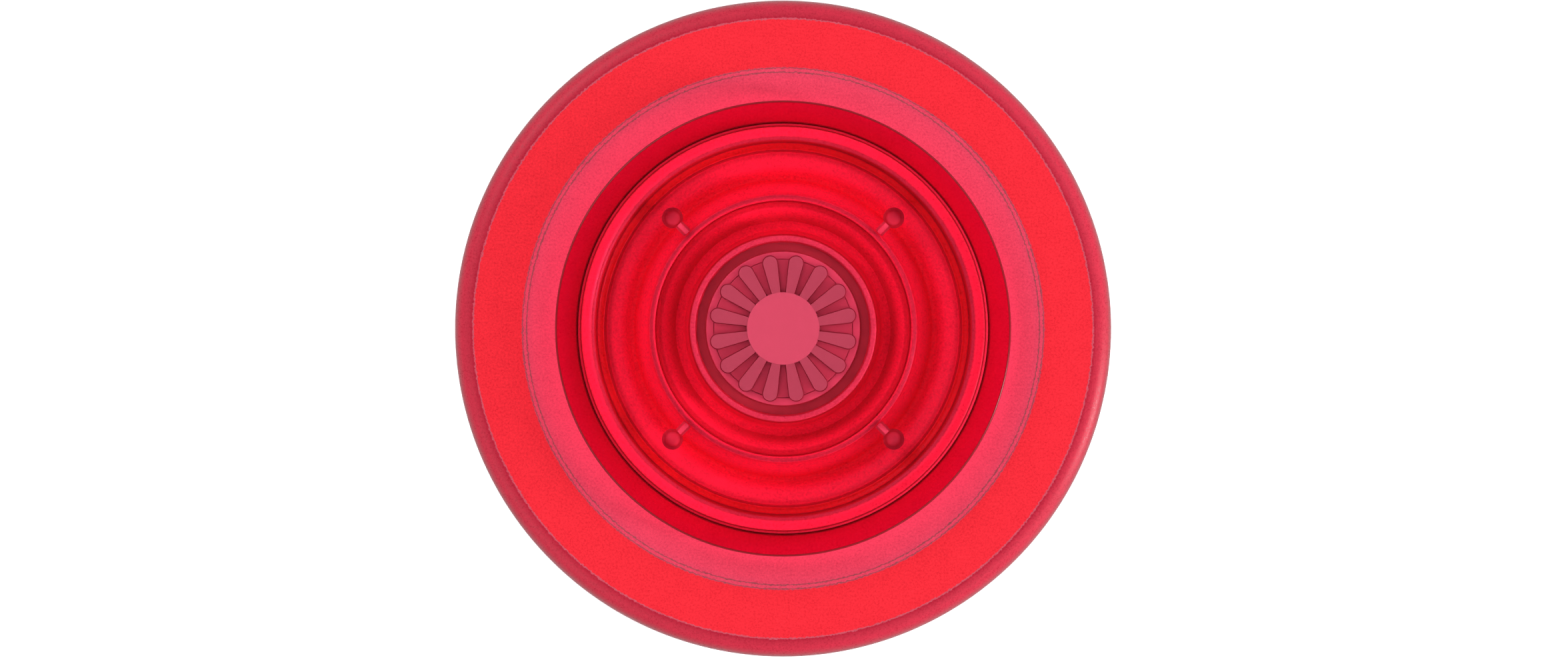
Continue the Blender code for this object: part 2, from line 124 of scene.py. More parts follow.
def rounded(corners, closed=True):
    """A profile from (radius, height, corner radius) points, with support points beside every arc."""
    count = len(corners)
    points = []
    for index, (x, z, wanted) in enumerate(corners):
        is_end = not closed and index in (0, count - 1)
        if is_end or wanted <= 0:
            points.append((x, z))
            continue
        before, after = corners[index - 1], corners[(index + 1) % count]
        ax, az = before[0] - x, before[1] - z
        bx, bz = after[0] - x, after[1] - z
        a_length, b_length = math.hypot(ax, az), math.hypot(bx, bz)
        ax, az, bx, bz = ax / a_length, az / a_length, bx / b_length, bz / b_length
        half = math.acos(max(-1.0, min(1.0, ax * bx + az * bz))) / 2
        if half > NEARLY_STRAIGHT:
            points.append((x, z))
            continue
        reach = min(wanted / math.tan(half), ARC_SHARE * a_length, ARC_SHARE * b_length)
        radius = reach * math.tan(half)
        middle_x, middle_z = ax + bx, az + bz
        length = math.hypot(middle_x, middle_z)
        centre_x = x + middle_x / length * radius / math.sin(half)
        centre_z = z + middle_z / length * radius / math.sin(half)
        start = math.atan2(z + az * reach - centre_z, x + ax * reach - centre_x)
        end = math.atan2(z + bz * reach - centre_z, x + bx * reach - centre_x)
        sweep = (end - start + math.pi) % (2 * math.pi) - math.pi
        if a_length - reach > 3 * SUPPORT_GAP:
            points.append((x + ax * (reach + SUPPORT_GAP), z + az * (reach + SUPPORT_GAP)))
        for step in range(ROUND_STEPS + 1):
            angle = start + sweep * step / ROUND_STEPS
            points.append((centre_x + radius * math.cos(angle), centre_z + radius * math.sin(angle)))
        if b_length - reach > 3 * SUPPORT_GAP:
            points.append((x + bx * (reach + SUPPORT_GAP), z + bz * (reach + SUPPORT_GAP)))
    return points


# %% Sweep a profile round the axis
SEGMENTS = 224
AXIS_TOLERANCE = 1e-6


def turned_mesh(name, profile, segments=SEGMENTS, closed=True):
    """A closed mesh from a profile: a loop of points, or a line that starts and ends on the axis."""
    shape = bmesh.new()
    rings = []
    for x, z in profile:
        if x < AXIS_TOLERANCE:
            rings.append([shape.verts.new((0.0, 0.0, z))] * segments)
            continue
        ring = []
        for step in range(segments):
            angle = 2 * math.pi * step / segments
            ring.append(shape.verts.new((x * math.cos(angle), x * math.sin(angle), z)))
        rings.append(ring)
    pairs = list(zip(rings, rings[1:]))
    if closed:
        pairs.append((rings[-1], rings[0]))
    for first, second in pairs:
        for step in range(segments):
            after = (step + 1) % segments
            corners = []
            for vert in (first[step], first[after], second[after], second[step]):
                if vert not in corners:
                    corners.append(vert)
            if len(corners) > 2:
                shape.faces.new(corners)
    bmesh.ops.recalc_face_normals(shape, faces=shape.faces)
    mesh = bpy.data.meshes.new(name)
    shape.to_mesh(mesh)
    shape.free()
    mesh.shade_smooth()
    return mesh


def piece(name, mesh, *materials):
    """An object for a finished mesh, with its materials."""
    obj = bpy.data.objects.new(name, mesh)
    bpy.context.scene.collection.objects.link(obj)
    for material in materials:
        mesh.materials.append(material)
    return obj


def settle(obj, body, slot, *nodes):
    """The piece rides on a body and stands for its CAD nodes, which are hidden. slot is not used."""
    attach(obj, body)
    if nodes:
        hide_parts(*nodes)
    print(f"{obj.name}: {len(obj.data.polygons)} faces, rides on {body}")


def turned_piece(name, profile, material, body, slot, *nodes, closed=True, segments=SEGMENTS):
    """Turns a profile into a piece and settles it."""
    settle(piece(name, turned_mesh(name, profile, segments, closed), material), body, slot, *nodes)


# %% [markdown]
# ## A smooth curve through a few points
#
# The folds of the bellows have no straight walls. The line of their upper side is given by a few
# points, a Catmull-Rom curve rounds it off, and the wall is then given its thickness below that
# line.


# %% Bend a line through points and give it a thickness
CURVE_STEPS = 6


def curve_value(a, b, c, d, t):
    """One coordinate of a Catmull-Rom curve, at share t of the way from b to c."""
    squared, cubed = 2 * a - 5 * b + 4 * c - d, 3 * b - a - 3 * c + d
    return 0.5 * (2 * b + (c - a) * t + squared * t**2 + cubed * t**3)


def smooth_line(points):
    """A Catmull-Rom curve through the points."""
    padded = [points[0], *points, points[-1]]
    line = []
    for p0, p1, p2, p3 in zip(padded, padded[1:], padded[2:], padded[3:]):
        for step in range(CURVE_STEPS):
            t = step / CURVE_STEPS
            line.append(tuple(curve_value(a, b, c, d, t) for a, b, c, d in zip(p0, p1, p2, p3)))
    line.append(points[-1])
    return line


def wall_profile(line, thickness):
    """The closed outline of a wall whose upper side is given. The line runs towards the axis."""
    hidden = []
    for index, (x, z) in enumerate(line):
        before, after = line[max(index - 1, 0)], line[min(index + 1, len(line) - 1)]
        dx, dz = after[0] - before[0], after[1] - before[1]
        length = math.hypot(dx, dz)
        hidden.append((x - dz / length * thickness, z + dx / length * thickness))
    return line + hidden[::-1]


# %% [markdown]
# ## Shared finishes
#
# Frosted and moulded plastics look alive because their surface is never quite even. One node group
# makes that grain, and every plastic here uses it with its own size and strength: it lightens and
# darkens the colour a little, varies the roughness and gives a height for a Bump node. It reads
# Object coordinates, so it sticks to the piece.


# %% A node group for moulded grain
def node_group(name, inputs, outputs):
    """An empty shader node group with the given (name, type, default) inputs and (name, type) outputs."""
    group = bpy.data.node_groups.new(name, "ShaderNodeTree")
    for label, kind, default in inputs:
        socket = group.interface.new_socket(name=label, in_out="INPUT", socket_type=kind)
        socket.default_value = default
    for label, kind in outputs:
        group.interface.new_socket(name=label, in_out="OUTPUT", socket_type=kind)
    return group, group.nodes.new("NodeGroupInput"), group.nodes.new("NodeGroupOutput")


def feed(tree, node, values):
    """Links or sets a node's inputs. A key is an input's name or number."""
    for label, value in values.items():
        if isinstance(value, bpy.types.NodeSocket):
            tree.links.new(value, node.inputs[label])
        else:
            node.inputs[label].default_value = value


def add_node(tree, kind, values=None, **settings):
    """A node with some settings, and some inputs linked or set."""
    node = tree.nodes.new(kind)
    for label, value in settings.items():
        setattr(node, label, value)
    feed(tree, node, values or {})
    return node


def math_node(tree, operation, first, second=None, clamp=False):
    """A Math node whose inputs are sockets or numbers. Returns its output."""
    values = {0: first} if second is None else {0: first, 1: second}
    return add_node(tree, "ShaderNodeMath", values, operation=operation, use_clamp=clamp).outputs[0]


def mix_colour(tree, factor, first, second, blend="MIX"):
    """A Mix node for colours whose inputs are sockets or values. Returns its output."""
    values = {0: factor, 6: first, 7: second}
    return add_node(tree, "ShaderNodeMix", values, data_type="RGBA", blend_type=blend).outputs[2]


COLOUR, FLOAT = "NodeSocketColor", "NodeSocketFloat"
GRAIN, grain_in, grain_out = node_group(
    "moulded_grain",
    [
        ("Colour", COLOUR, (0.8, 0.1, 0.1, 1)),
        ("Grain Size", FLOAT, 0.3),
        ("Depth", FLOAT, 0.1),
        ("Roughness", FLOAT, 0.4),
    ],
    [("Colour", COLOUR), ("Roughness", FLOAT), ("Height", FLOAT)],
)
coordinates = GRAIN.nodes.new("ShaderNodeTexCoord").outputs["Object"]
per_metre = math_node(GRAIN, "DIVIDE", 1 / MM, grain_in.outputs["Grain Size"])
scaled = add_node(
    GRAIN, "ShaderNodeVectorMath", {0: coordinates, "Scale": per_metre}, operation="SCALE"
).outputs[0]
fine = add_node(
    GRAIN, "ShaderNodeTexNoise", {"Vector": scaled, "Scale": 1.0, "Detail": 4.0, "Roughness": 0.85}
)
broad = add_node(GRAIN, "ShaderNodeTexNoise", {"Vector": scaled, "Scale": 0.16, "Detail": 2.0})
speckle = math_node(GRAIN, "SUBTRACT", fine.outputs[0], 0.5)
cloud = math_node(GRAIN, "SUBTRACT", broad.outputs[0], 0.5)
strong_speckle = math_node(GRAIN, "MULTIPLY", speckle, 2.0)
uneven = math_node(GRAIN, "ADD", strong_speckle, math_node(GRAIN, "MULTIPLY", cloud, 0.25))
swing = math_node(GRAIN, "MULTIPLY", uneven, grain_in.outputs["Depth"])
gain = math_node(GRAIN, "ADD", swing, 1.0)
grey = GRAIN.nodes.new("ShaderNodeCombineXYZ")
for axis in range(3):
    GRAIN.links.new(gain, grey.inputs[axis])
shaded = mix_colour(GRAIN, 1.0, grain_in.outputs["Colour"], grey.outputs[0], "MULTIPLY")
GRAIN.links.new(shaded, grain_out.inputs["Colour"])
duller = math_node(GRAIN, "ADD", grain_in.outputs["Roughness"], swing, clamp=True)
GRAIN.links.new(duller, grain_out.inputs["Roughness"])
GRAIN.links.new(fine.outputs[0], grain_out.inputs["Height"])
print("node group:", GRAIN.name)

# %% [markdown]
# The frosted skin of the base scatters whatever lies behind it, so the ring under it shows with a
# ragged rim. A second group answers "how far into this ring zone am I", with noise added to the
# radius so that the zone's edges are ragged.

# %% A node group for a ring zone with ragged edges
ZONE, zone_in, zone_out = node_group(
    "ragged_ring_zone",
    [("Inner", FLOAT, 10.0), ("Outer", FLOAT, 20.0), ("Ragged", FLOAT, 0.1), ("Soft", FLOAT, 0.05)],
    [("Mask", FLOAT)],
)
coordinates = ZONE.nodes.new("ShaderNodeTexCoord").outputs["Object"]
flat = add_node(
    ZONE, "ShaderNodeVectorMath", {0: coordinates, 1: (1 / MM, 1 / MM, 0.0)}, operation="MULTIPLY"
).outputs[0]
length = add_node(ZONE, "ShaderNodeVectorMath", {0: flat}, operation="LENGTH")
ragged = add_node(ZONE, "ShaderNodeTexNoise", {"Vector": flat, "Scale": 4.0, "Detail": 2.0})
jitter = math_node(
    ZONE, "MULTIPLY", math_node(ZONE, "SUBTRACT", ragged.outputs[0], 0.5), zone_in.outputs["Ragged"]
)
radius = math_node(ZONE, "ADD", length.outputs["Value"], jitter)


def ramp(tree, value, edge, soft):
    """0 below the edge and 1 above it, over a soft width."""
    low_end, high_end = math_node(tree, "SUBTRACT", edge, soft), math_node(tree, "ADD", edge, soft)
    values = {"Value": value, "From Min": low_end, "From Max": high_end}
    return add_node(tree, "ShaderNodeMapRange", values, interpolation_type="SMOOTHSTEP").outputs[0]


past_inner = ramp(ZONE, radius, zone_in.outputs["Inner"], zone_in.outputs["Soft"])
past_outer = ramp(ZONE, radius, zone_in.outputs["Outer"], zone_in.outputs["Soft"])
ZONE.links.new(math_node(ZONE, "SUBTRACT", past_inner, past_outer), zone_out.inputs["Mask"])
print("node group:", ZONE.name)

# %% [markdown]
# Tinted plastic that is seen edge-on looks a little deeper, because there is more of it behind the
# surface. A third group darkens a colour where a wall is steep, by the height component of the
# surface normal, and goes well past that: it is painted shade, which draws the dark creases,
# grooves and edges.

# %% A node group for painted shade on steep walls
WALL_SHADE_GROUP, steep_in, steep_out = node_group(
    "painted_shade_on_steep_walls",
    [
        ("Colour", COLOUR, (0.8, 0.1, 0.1, 1)),
        ("Deep Colour", COLOUR, (0.3, 0.01, 0.02, 1)),
        ("Slope", FLOAT, 0.45),
    ],
    [("Colour", COLOUR)],
)
facing = WALL_SHADE_GROUP.nodes.new("ShaderNodeNewGeometry").outputs["Normal"]
parts = add_node(WALL_SHADE_GROUP, "ShaderNodeSeparateXYZ", {0: facing})
upright = math_node(WALL_SHADE_GROUP, "ABSOLUTE", parts.outputs["Z"])
flatness = add_node(
    WALL_SHADE_GROUP,
    "ShaderNodeMapRange",
    {"Value": upright, "From Min": 0.05, "From Max": steep_in.outputs["Slope"]},
    interpolation_type="SMOOTHSTEP",
)
WALL_SHADE_GROUP.links.new(
    mix_colour(WALL_SHADE_GROUP, flatness.outputs[0], steep_in.outputs["Deep Colour"], steep_in.outputs["Colour"]),
    steep_out.inputs["Colour"],
)
print("node group:", WALL_SHADE_GROUP.name)

# %% [markdown]
# ## Materials
#
# A material here is one Principled shader, fed by the groups above. The numbers that are the same
# all over a surface are set straight on the shader's own sockets.


# %% Helpers that place the groups in a material
def new_material(name):
    material = bpy.data.materials.new(name)
    material.use_nodes = True
    tree = material.node_tree
    return material, tree, tree.nodes["Principled BSDF"]


def place_group(tree, group, **values):
    node = tree.nodes.new("ShaderNodeGroup")
    node.node_tree = group
    feed(tree, node, {label.replace("_", " "): value for label, value in values.items()})
    return node


def grained(tree, shader, colour, size, depth, roughness, bump, source=None):
    """Feeds a shader with moulded grain: its size in millimetres, and its height, bump, in metres."""
    grain = place_group(tree, GRAIN, Colour=(*colour, 1), Grain_Size=size, Depth=depth, Roughness=roughness)
    if source is not None:
        tree.links.new(source, grain.inputs["Colour"])
    tree.links.new(grain.outputs["Colour"], shader.inputs["Base Color"])
    tree.links.new(grain.outputs["Roughness"], shader.inputs["Roughness"])
    if bump:
        relief = add_node(
            tree, "ShaderNodeBump", {"Strength": 1.0, "Distance": bump, "Height": grain.outputs["Height"]}
        )
        tree.links.new(relief.outputs["Normal"], shader.inputs["Normal"])


def steep_shaded(tree, colour, shade_colour, slope=0.45):
    """A colour, or a colour socket, painted darker on steep walls: painted shade."""
    steep = place_group(tree, WALL_SHADE_GROUP, Deep_Colour=(*shade_colour, 1), Slope=slope)
    if isinstance(colour, bpy.types.NodeSocket):
        tree.links.new(colour, steep.inputs["Colour"])
    else:
        steep.inputs["Colour"].default_value = (*colour, 1)
    return steep.outputs[0]


def plain_plastic(name, colour, size, depth, roughness, bump, specular=0.5):
    material, tree, shader = new_material(name)
    grained(tree, shader, colour, size, depth, roughness, bump)
    shader.inputs["Specular IOR Level"].default_value = specular
    return material


# %% [markdown]
# The frosted shell is translucent: it lets part of the light through and scatters the rest. Real
# scattering through a thin skin is slow to render clean, so the skin is a mix of a tinted
# Transparent shader and a grained Principled one. The zones over the magnets, over the hollow
# beside them and round the rim each scatter in their own tone. Other zones are painted light and
# shade: a deeper red under the disc and a dark lip round the opening are painted shade, thin grey
# lines inside the band are painted shade lines, the pale line at the band's outer edge is a
# painted highlight, and tilted parts, the rim most, are painted darker.


# %% Frosted red shell
def mixed_surface(tree, share, first, second):
    """Ends a material in a mix of two shaders. share is how much of the second one shows."""
    mix = add_node(tree, "ShaderNodeMixShader", {0: share, 1: first.outputs[0], 2: second.outputs[0]})
    tree.links.new(mix.outputs[0], tree.nodes["Material Output"].inputs["Surface"])


def see_through(tree, shader, haze, tint):
    """Mixes a tinted Transparent shader with the Principled one. haze is the part that is solid."""
    clear = add_node(tree, "ShaderNodeBsdfTransparent", {"Color": (*tint, 1)})
    mixed_surface(tree, haze, clear, shader)


def with_rings(tree, tone, rings):
    """Lays rings over a tone: (inner radius, outer radius, raggedness, softness, tone), in mm."""
    for inner, outer, ragged, soft, ring_tone in rings:
        zone = place_group(tree, ZONE, Inner=inner, Outer=outer, Ragged=ragged, Soft=soft)
        tone = mix_colour(tree, zone.outputs[0], tone, ring_tone)
    return tone


RIM_RED = (0.53, 0.018, 0.046, 1)
# Painted shade: the rounded rim is painted darker towards its outer edge.
RIM_WALL_SHADE = (0.14, 0.004, 0.012)
LAND_RED = (0.93, 0.067, 0.138, 1)
# Painted shade: a deeper, darker red on the front under the disc.
UNDER_DISC_SHADE = (0.76, 0.001, 0.046, 1)
OVER_BAND_RED = (0.93, 0.027, 0.046, 1)
EDGE_GLINT = (0.66, 0.095, 0.140, 1)
# Painted shade: thin grey lines just inside the band's inner edge.
BAND_EDGE_SHADE = (0.40, 0.075, 0.100, 1)
# Painted shade: a dark lip round the opening, beside the collar.
OPENING_LIP_SHADE = (0.30, 0.010, 0.022, 1)


def frosted_shell():
    material, tree, shader = new_material("frosted_red_shell")
    mm = 1 / MM
    rings = (
        (0.0, BAND_INNER * mm, 0.25, 0.05, LAND_RED),
        (0.0, DISC_RADIUS * mm - 0.08, 0.0, 0.03, UNDER_DISC_SHADE),
        (BAND_INNER * mm, BAND_OUTER * mm, 0.25, 0.05, OVER_BAND_RED),
        (BAND_OUTER * mm - 0.04, BAND_OUTER * mm + 0.08, 0.35, 0.03, EDGE_GLINT),
        (BAND_INNER * mm - 0.50, BAND_INNER * mm - 0.40, 0.3, 0.03, BAND_EDGE_SHADE),
        (BAND_INNER * mm - 0.14, BAND_INNER * mm - 0.04, 0.3, 0.03, BAND_EDGE_SHADE),
        (0.0, OPENING_RADIUS * mm + 0.10, 0.03, 0.04, OPENING_LIP_SHADE),
    )
    colour = with_rings(tree, RIM_RED, rings)
    # Painted shade: tilted parts of the shell, the rounded rim most, are painted darker.
    colour = steep_shaded(tree, colour, RIM_WALL_SHADE, 1.0)
    grained(tree, shader, RIM_RED[:3], 0.20, 0.50, 0.36, 0.010 * MM, source=colour)
    shader.inputs["Specular IOR Level"].default_value = 0.18
    wall = place_group(tree, ZONE, Inner=BAND_OUTER * mm + 0.6, Outer=40.0, Ragged=0.0, Soft=0.5)
    haze = math_node(tree, "ADD", math_node(tree, "MULTIPLY", wall.outputs[0], 0.26), 0.72)
    see_through(tree, shader, haze, (0.93, 0.35, 0.42))
    return material


FROSTED = frosted_shell()
BRIGHT_BAND = plain_plastic("bright_red_band", (0.70, 0.016, 0.026), 0.35, 0.12, 0.6, 0.005 * MM, 0.3)
SOFT_TONE = (0.94, 0.056, 0.130)
# Painted shade on the steep walls of the bellows, the hub and the lock ring.
SOFT_WALL_SHADE = (0.40, 0.016, 0.028)
# Painted shade: the valley of the middle fold, the channel beside the collar and its edges.
VALLEY_SHADE = (0.82, 0.012, 0.040)
CHANNEL_SHADE = (0.62, 0.001, 0.006)
CHANNEL_EDGE_SHADE = (0.26, 0.012, 0.018)
RIDGE_TONE = (0.48, 0.060, 0.092)
PALE_FROST = plain_plastic("pale_frosted_connector", (0.49, 0.36, 0.32), 0.25, 0.05, 0.5, 0.003 * MM)
PETAL_FROST = plain_plastic("petal_frost", (0.34, 0.27, 0.228), 0.25, 0.06, 0.5, 0.003 * MM)
GAP_RED = plain_plastic("connector_plate_red", (0.42, 0.17, 0.18), 0.25, 0.06, 0.5, 0.003 * MM)
# Painted shade: the dark outline on the petals' sloping sides.
PETAL_SIDE_SHADE = plain_plastic("petal_side_painted_shade", (0.20, 0.05, 0.055), 0.25, 0.05, 0.6, 0.0)
GRIP_RUBBER = plain_plastic("red_grip_rubber", (0.30, 0.012, 0.03), 0.18, 0.2, 0.75, 0.012 * MM, 0.25)


def ringed_plastic(name, colour, *rings, depth=0.60, bump=0.008 * MM):
    """A soft plastic with rings of another tone: (inner radius, outer radius, softness, colour), in mm."""
    material, tree, shader = new_material(name)
    rings = [(inner, outer, 0.08, soft, (*ring, 1)) for inner, outer, soft, ring in rings]
    tone = with_rings(tree, (*colour, 1), rings)
    grained(tree, shader, colour, 0.22, depth, 0.42, bump, source=steep_shaded(tree, tone, SOFT_WALL_SHADE))
    shader.inputs["Specular IOR Level"].default_value = 0.4
    return material


# The darker rings are painted shade: the deep valley by the hub, the valley of the middle fold, the channel
# beside the collar and its two edges, the steep part of the outer shoulder, the dark line where the collar
# meets the lip and the dark band inside the middle ridge.
SOFT_RED = ringed_plastic(
    "soft_red_bellows",
    SOFT_TONE,
    (8.2, 9.9, 0.35, (0.66, 0.040, 0.078)),
    (15.40, 15.62, 0.05, CHANNEL_EDGE_SHADE),
    (15.62, 16.15, 0.05, CHANNEL_SHADE),
    (16.15, 16.38, 0.05, CHANNEL_EDGE_SHADE),
    (16.38, 16.75, 0.10, RIDGE_TONE),
    (12.75, 13.45, 0.45, VALLEY_SHADE),
    (15.05, 15.40, 0.25, (0.62, 0.034, 0.076)),
    (17.56, 17.68, 0.03, (0.30, 0.008, 0.020)),
    (11.26, 11.62, 0.06, RIDGE_TONE),
    (10.60, 11.18, 0.12, (0.66, 0.034, 0.072)),
)


# %% [markdown]
# Steel and nickel are metals, so their colour is what they mirror. Both are hidden in the closed
# base, but a part that is taken out, or seen through the skin, should still look right.


# %% Zinc-plated steel and nickel
def plated(name, colour, size, roughness, bump):
    material, tree, shader = new_material(name)
    grained(tree, shader, colour, size, 0.10, roughness, bump)
    shader.inputs["Metallic"].default_value = 1.0
    return material


ZINC = plated("zinc_plated_steel", (0.62, 0.63, 0.66), 0.6, 0.34, 0.004 * MM)
NICKEL = plated("nickel_plated_magnet", (0.72, 0.70, 0.66), 0.9, 0.2, 0.002 * MM)

# %% [markdown]
# The top disc is clear tinted plastic, and a glass shader bends the view through it as the real
# disc does. Lamps can't find their way through bent glass, so for shadow rays the material turns
# into a plain tinted filter, and everything under the disc is lit as through a coloured window.

# %% Clear red disc
DISC_TINT = (0.97, 0.36, 0.52)


def clear_disc(name, tint, roughness):
    material, tree, shader = new_material(name)
    feed(
        tree,
        shader,
        {"Base Color": (*tint, 1), "Roughness": roughness, "Transmission Weight": 1.0, "IOR": 1.45},
    )
    shadow_tint = (*(math.sqrt(part) for part in tint), 1)
    tinted_filter = add_node(tree, "ShaderNodeBsdfTransparent", {"Color": shadow_tint})
    path = tree.nodes.new("ShaderNodeLightPath")
    mixed_surface(tree, path.outputs["Is Shadow Ray"], shader, tinted_filter)
    return material


CLEAR_RED = clear_disc("clear_red_disc", DISC_TINT, 0.03)

# %% [markdown]
# Light that enters a clear disc through its rim runs round inside it and comes out again as an
# even, deep glow. Few rendered rays find that way out, and a rim of plain glass turns black. So the
# rim gets a mostly solid skin in a very dark red: painted shade, a thin dark line round the edge.


# %% Rim of the disc
def disc_rim():
    material, tree, shader = new_material("clear_red_disc_painted_edge")
    # Painted shade: the rim's skin is a very dark red that draws a thin dark line round the disc.
    grained(tree, shader, (0.22, 0.002, 0.009), 0.2, 0.05, 0.25, 0.0)
    shader.inputs["Specular IOR Level"].default_value = 0.2
    see_through(tree, shader, 0.85, (0.80, 0.08, 0.15))
    return material


PAINTED_DISC_EDGE = disc_rim()

# %% [markdown]
# The pegs under the disc are moulded with it but their skin is matt. They are given a mostly solid
# plastic with painted shade, dark on the outer half and on the steep edges, so that they show as
# small soft-shaded buttons through the clear disc.


# %% Matt pegs
# The pale tone of the pegs, and a dark tone for their steep edges that is painted shade.
PEG_TONE, PEG_EDGE_SHADE = (1.0, 0.30, 0.42), (0.18, 0.007, 0.015)


def matt_peg():
    material, tree, shader = new_material("matt_red_peg")
    shaded_far_side = place_group(tree, ZONE, Inner=13.8, Outer=20.0, Ragged=0.0, Soft=0.5)
    # Painted shade: the outer half of each peg is painted dark, leaving a bright spot on the inner side.
    tone = mix_colour(tree, shaded_far_side.outputs[0], (*PEG_TONE, 1), (0.42, 0.020, 0.050, 1))
    tone = steep_shaded(tree, tone, PEG_EDGE_SHADE, 0.85)
    grained(tree, shader, PEG_TONE, 0.2, 0.05, 0.35, 0.0, source=tone)
    shader.inputs["Specular IOR Level"].default_value = 0.2
    haze = math_node(tree, "ADD", math_node(tree, "MULTIPLY", shaded_far_side.outputs[0], 0.25), 0.6)
    see_through(tree, shader, haze, (0.99, 0.7, 0.76))
    return material


MATT_PEG = matt_peg()

# %% [markdown]
# ## The tray of the base
#
# One moulding makes the rounded rim, the flat front and the bowl in the middle, with a closed
# pocket behind the front for the magnets. It is turned from one profile, with the big radius of the
# rim and small radii everywhere else.

# %% Tray
RIM_ROUND, BACK_ROUND, INSIDE_ROUND = 1.5 * MM, 0.4 * MM, 0.2 * MM
POCKET_RIB, LIP_THICKNESS = 0.7 * MM, 0.7 * MM
BOWL_WALL, SKIN = 0.8 * MM, 0.8 * MM
POCKET_RADIUS = BAND_OUTER + FIT
RIB_OUTER = BAND_INNER - FIT
RIB_INNER = RIB_OUTER - POCKET_RIB
BOWL_OUTER = BOWL_RADIUS + BOWL_WALL
SKIN_LOW = BASE_TOP - SKIN
LIP_LOW = BASE_TOP - LIP_THICKNESS
LIP_EDGE = OPENING_RADIUS - CRISP
TRAY_LOW = low("front_shell")
COVER_SEAT = top("rear_cover") + FIT
REBATE_RADIUS = COVER_RADIUS + FIT

tray_profile = rounded(
    [
        (BASE_RADIUS, BASE_TOP, RIM_ROUND),
        (BASE_RADIUS, TRAY_LOW, BACK_ROUND),
        (REBATE_RADIUS, TRAY_LOW, 0.08 * MM),
        (REBATE_RADIUS, COVER_SEAT, CRISP),
        (POCKET_RADIUS, COVER_SEAT, CRISP),
        (POCKET_RADIUS, SKIN_LOW, CRISP),
        (RIB_OUTER, SKIN_LOW, CRISP),
        (RIB_OUTER, COVER_SEAT, CRISP),
        (RIB_INNER, COVER_SEAT, CRISP),
        (RIB_INNER, SKIN_LOW, INSIDE_ROUND),
        (BOWL_OUTER, SKIN_LOW, INSIDE_ROUND),
        (BOWL_OUTER, COVER_SEAT, CRISP),
        (BOWL_RADIUS, COVER_SEAT, CRISP),
        (BOWL_RADIUS, LIP_LOW, CRISP),
        (LIP_EDGE, LIP_LOW, 0.1 * MM),
        (LIP_EDGE, BASE_TOP, 0.12 * MM),
    ]
)
turned_piece("frosted_tray", tray_profile, FROSTED, "base", "frosted_red_plastic", "front_shell")

# %% [markdown]
# ## The coloured band and the back cover
#
# The band is a thin ring that hides the magnets and gives the base its bright stripe. The back
# cover closes the pocket and is the floor of the bowl. Both are plain turned pieces, and the grip
# pad is a soft ring with full radii.


# %% Band, back cover and pad
def washer(node, inner, corner):
    """The profile of a flat ring with rounded corners, in the place of a CAD node."""
    outer, bottom, height = outer_radius(node), low(node), top(node)
    corners = [(outer, height), (outer, bottom), (inner, bottom), (inner, height)]
    return rounded([(x, z, corner) for x, z in corners])


band_profile = washer("colour_ring", BAND_INNER, CRISP)
turned_piece("bright_band", band_profile, BRIGHT_BAND, "base", "bright_red_band", "colour_ring")

RUN = 0.3 * MM  # gap between pieces that move past each other
FLOOR_TOP = VALLEY_LOW - RUN
FLOOR_RADIUS = BOWL_RADIUS - 0.6 * MM
COVER_TOP, COVER_LOW = top("rear_cover"), low("front_shell")
cover_profile = rounded(
    [
        (0.0, FLOOR_TOP, 0.0),
        (BOWL_RADIUS, FLOOR_TOP, 0.1 * MM),
        (BOWL_RADIUS, COVER_TOP, 0.1 * MM),
        (COVER_RADIUS, COVER_TOP, 0.1 * MM),
        (COVER_RADIUS, COVER_LOW, 0.1 * MM),
        (FLOOR_RADIUS, COVER_LOW, 0.1 * MM),
        (FLOOR_RADIUS, low("rear_cover"), 0.15 * MM),
        (0.0, low("rear_cover"), 0.0),
    ],
    closed=False,
)
BACK_RED = plain_plastic("frosted_back_cover", (0.62, 0.040, 0.075), 0.3, 0.12, 0.45, 0.008 * MM)
turned_piece(
    "back_cover", cover_profile, BACK_RED, "base", "frosted_red_plastic", "rear_cover", closed=False
)

pad_inner = FLOOR_RADIUS + 0.4 * MM
soft_ring = washer("grip_pad", pad_inner, 0.2 * MM)
turned_piece("grip_pad_ring", soft_ring, GRIP_RUBBER, "base", "red_grip_rubber", "grip_pad")

# %% [markdown]
# ## The magnets
#
# Sixteen arc magnets stand side by side in the pocket. One magnet is a short arc swept with a
# rounded rectangle, and Geometry Nodes put sixteen copies round the ring. The tree ends in Realize
# Instances and Set Material, and the result is turned into a plain mesh.


# %% Helpers for Geometry Nodes
def geometry_tree(name, inputs):
    """An empty Geometry Nodes tree with a geometry input and output, and named size inputs."""
    tree = bpy.data.node_groups.new(name, "GeometryNodeTree")
    tree.interface.new_socket(name="Geometry", in_out="INPUT", socket_type="NodeSocketGeometry")
    for label, kind, _ in inputs:
        tree.interface.new_socket(name=label, in_out="INPUT", socket_type=kind)
    tree.interface.new_socket(name="Geometry", in_out="OUTPUT", socket_type="NodeSocketGeometry")
    given, made = tree.nodes.new("NodeGroupInput"), tree.nodes.new("NodeGroupOutput")
    return tree, given.outputs, made.inputs[0]


def shifted(tree, geometry, x=0.0, z=0.0, turn=(0.0, 0.0, 0.0)):
    """Geometry moved along X and Z, and turned."""
    place = add_node(tree, "ShaderNodeCombineXYZ", {"X": x, "Z": z})
    links = {0: geometry, "Translation": place.outputs[0], "Rotation": turn}
    return add_node(tree, "GeometryNodeTransform", links).outputs[0]


def finished(tree, geometry, material, where=True):
    """Geometry with a material on all its faces, or on the selected ones."""
    links = {"Geometry": geometry, "Selection": where, "Material": material}
    return add_node(tree, "GeometryNodeSetMaterial", links).outputs[0]


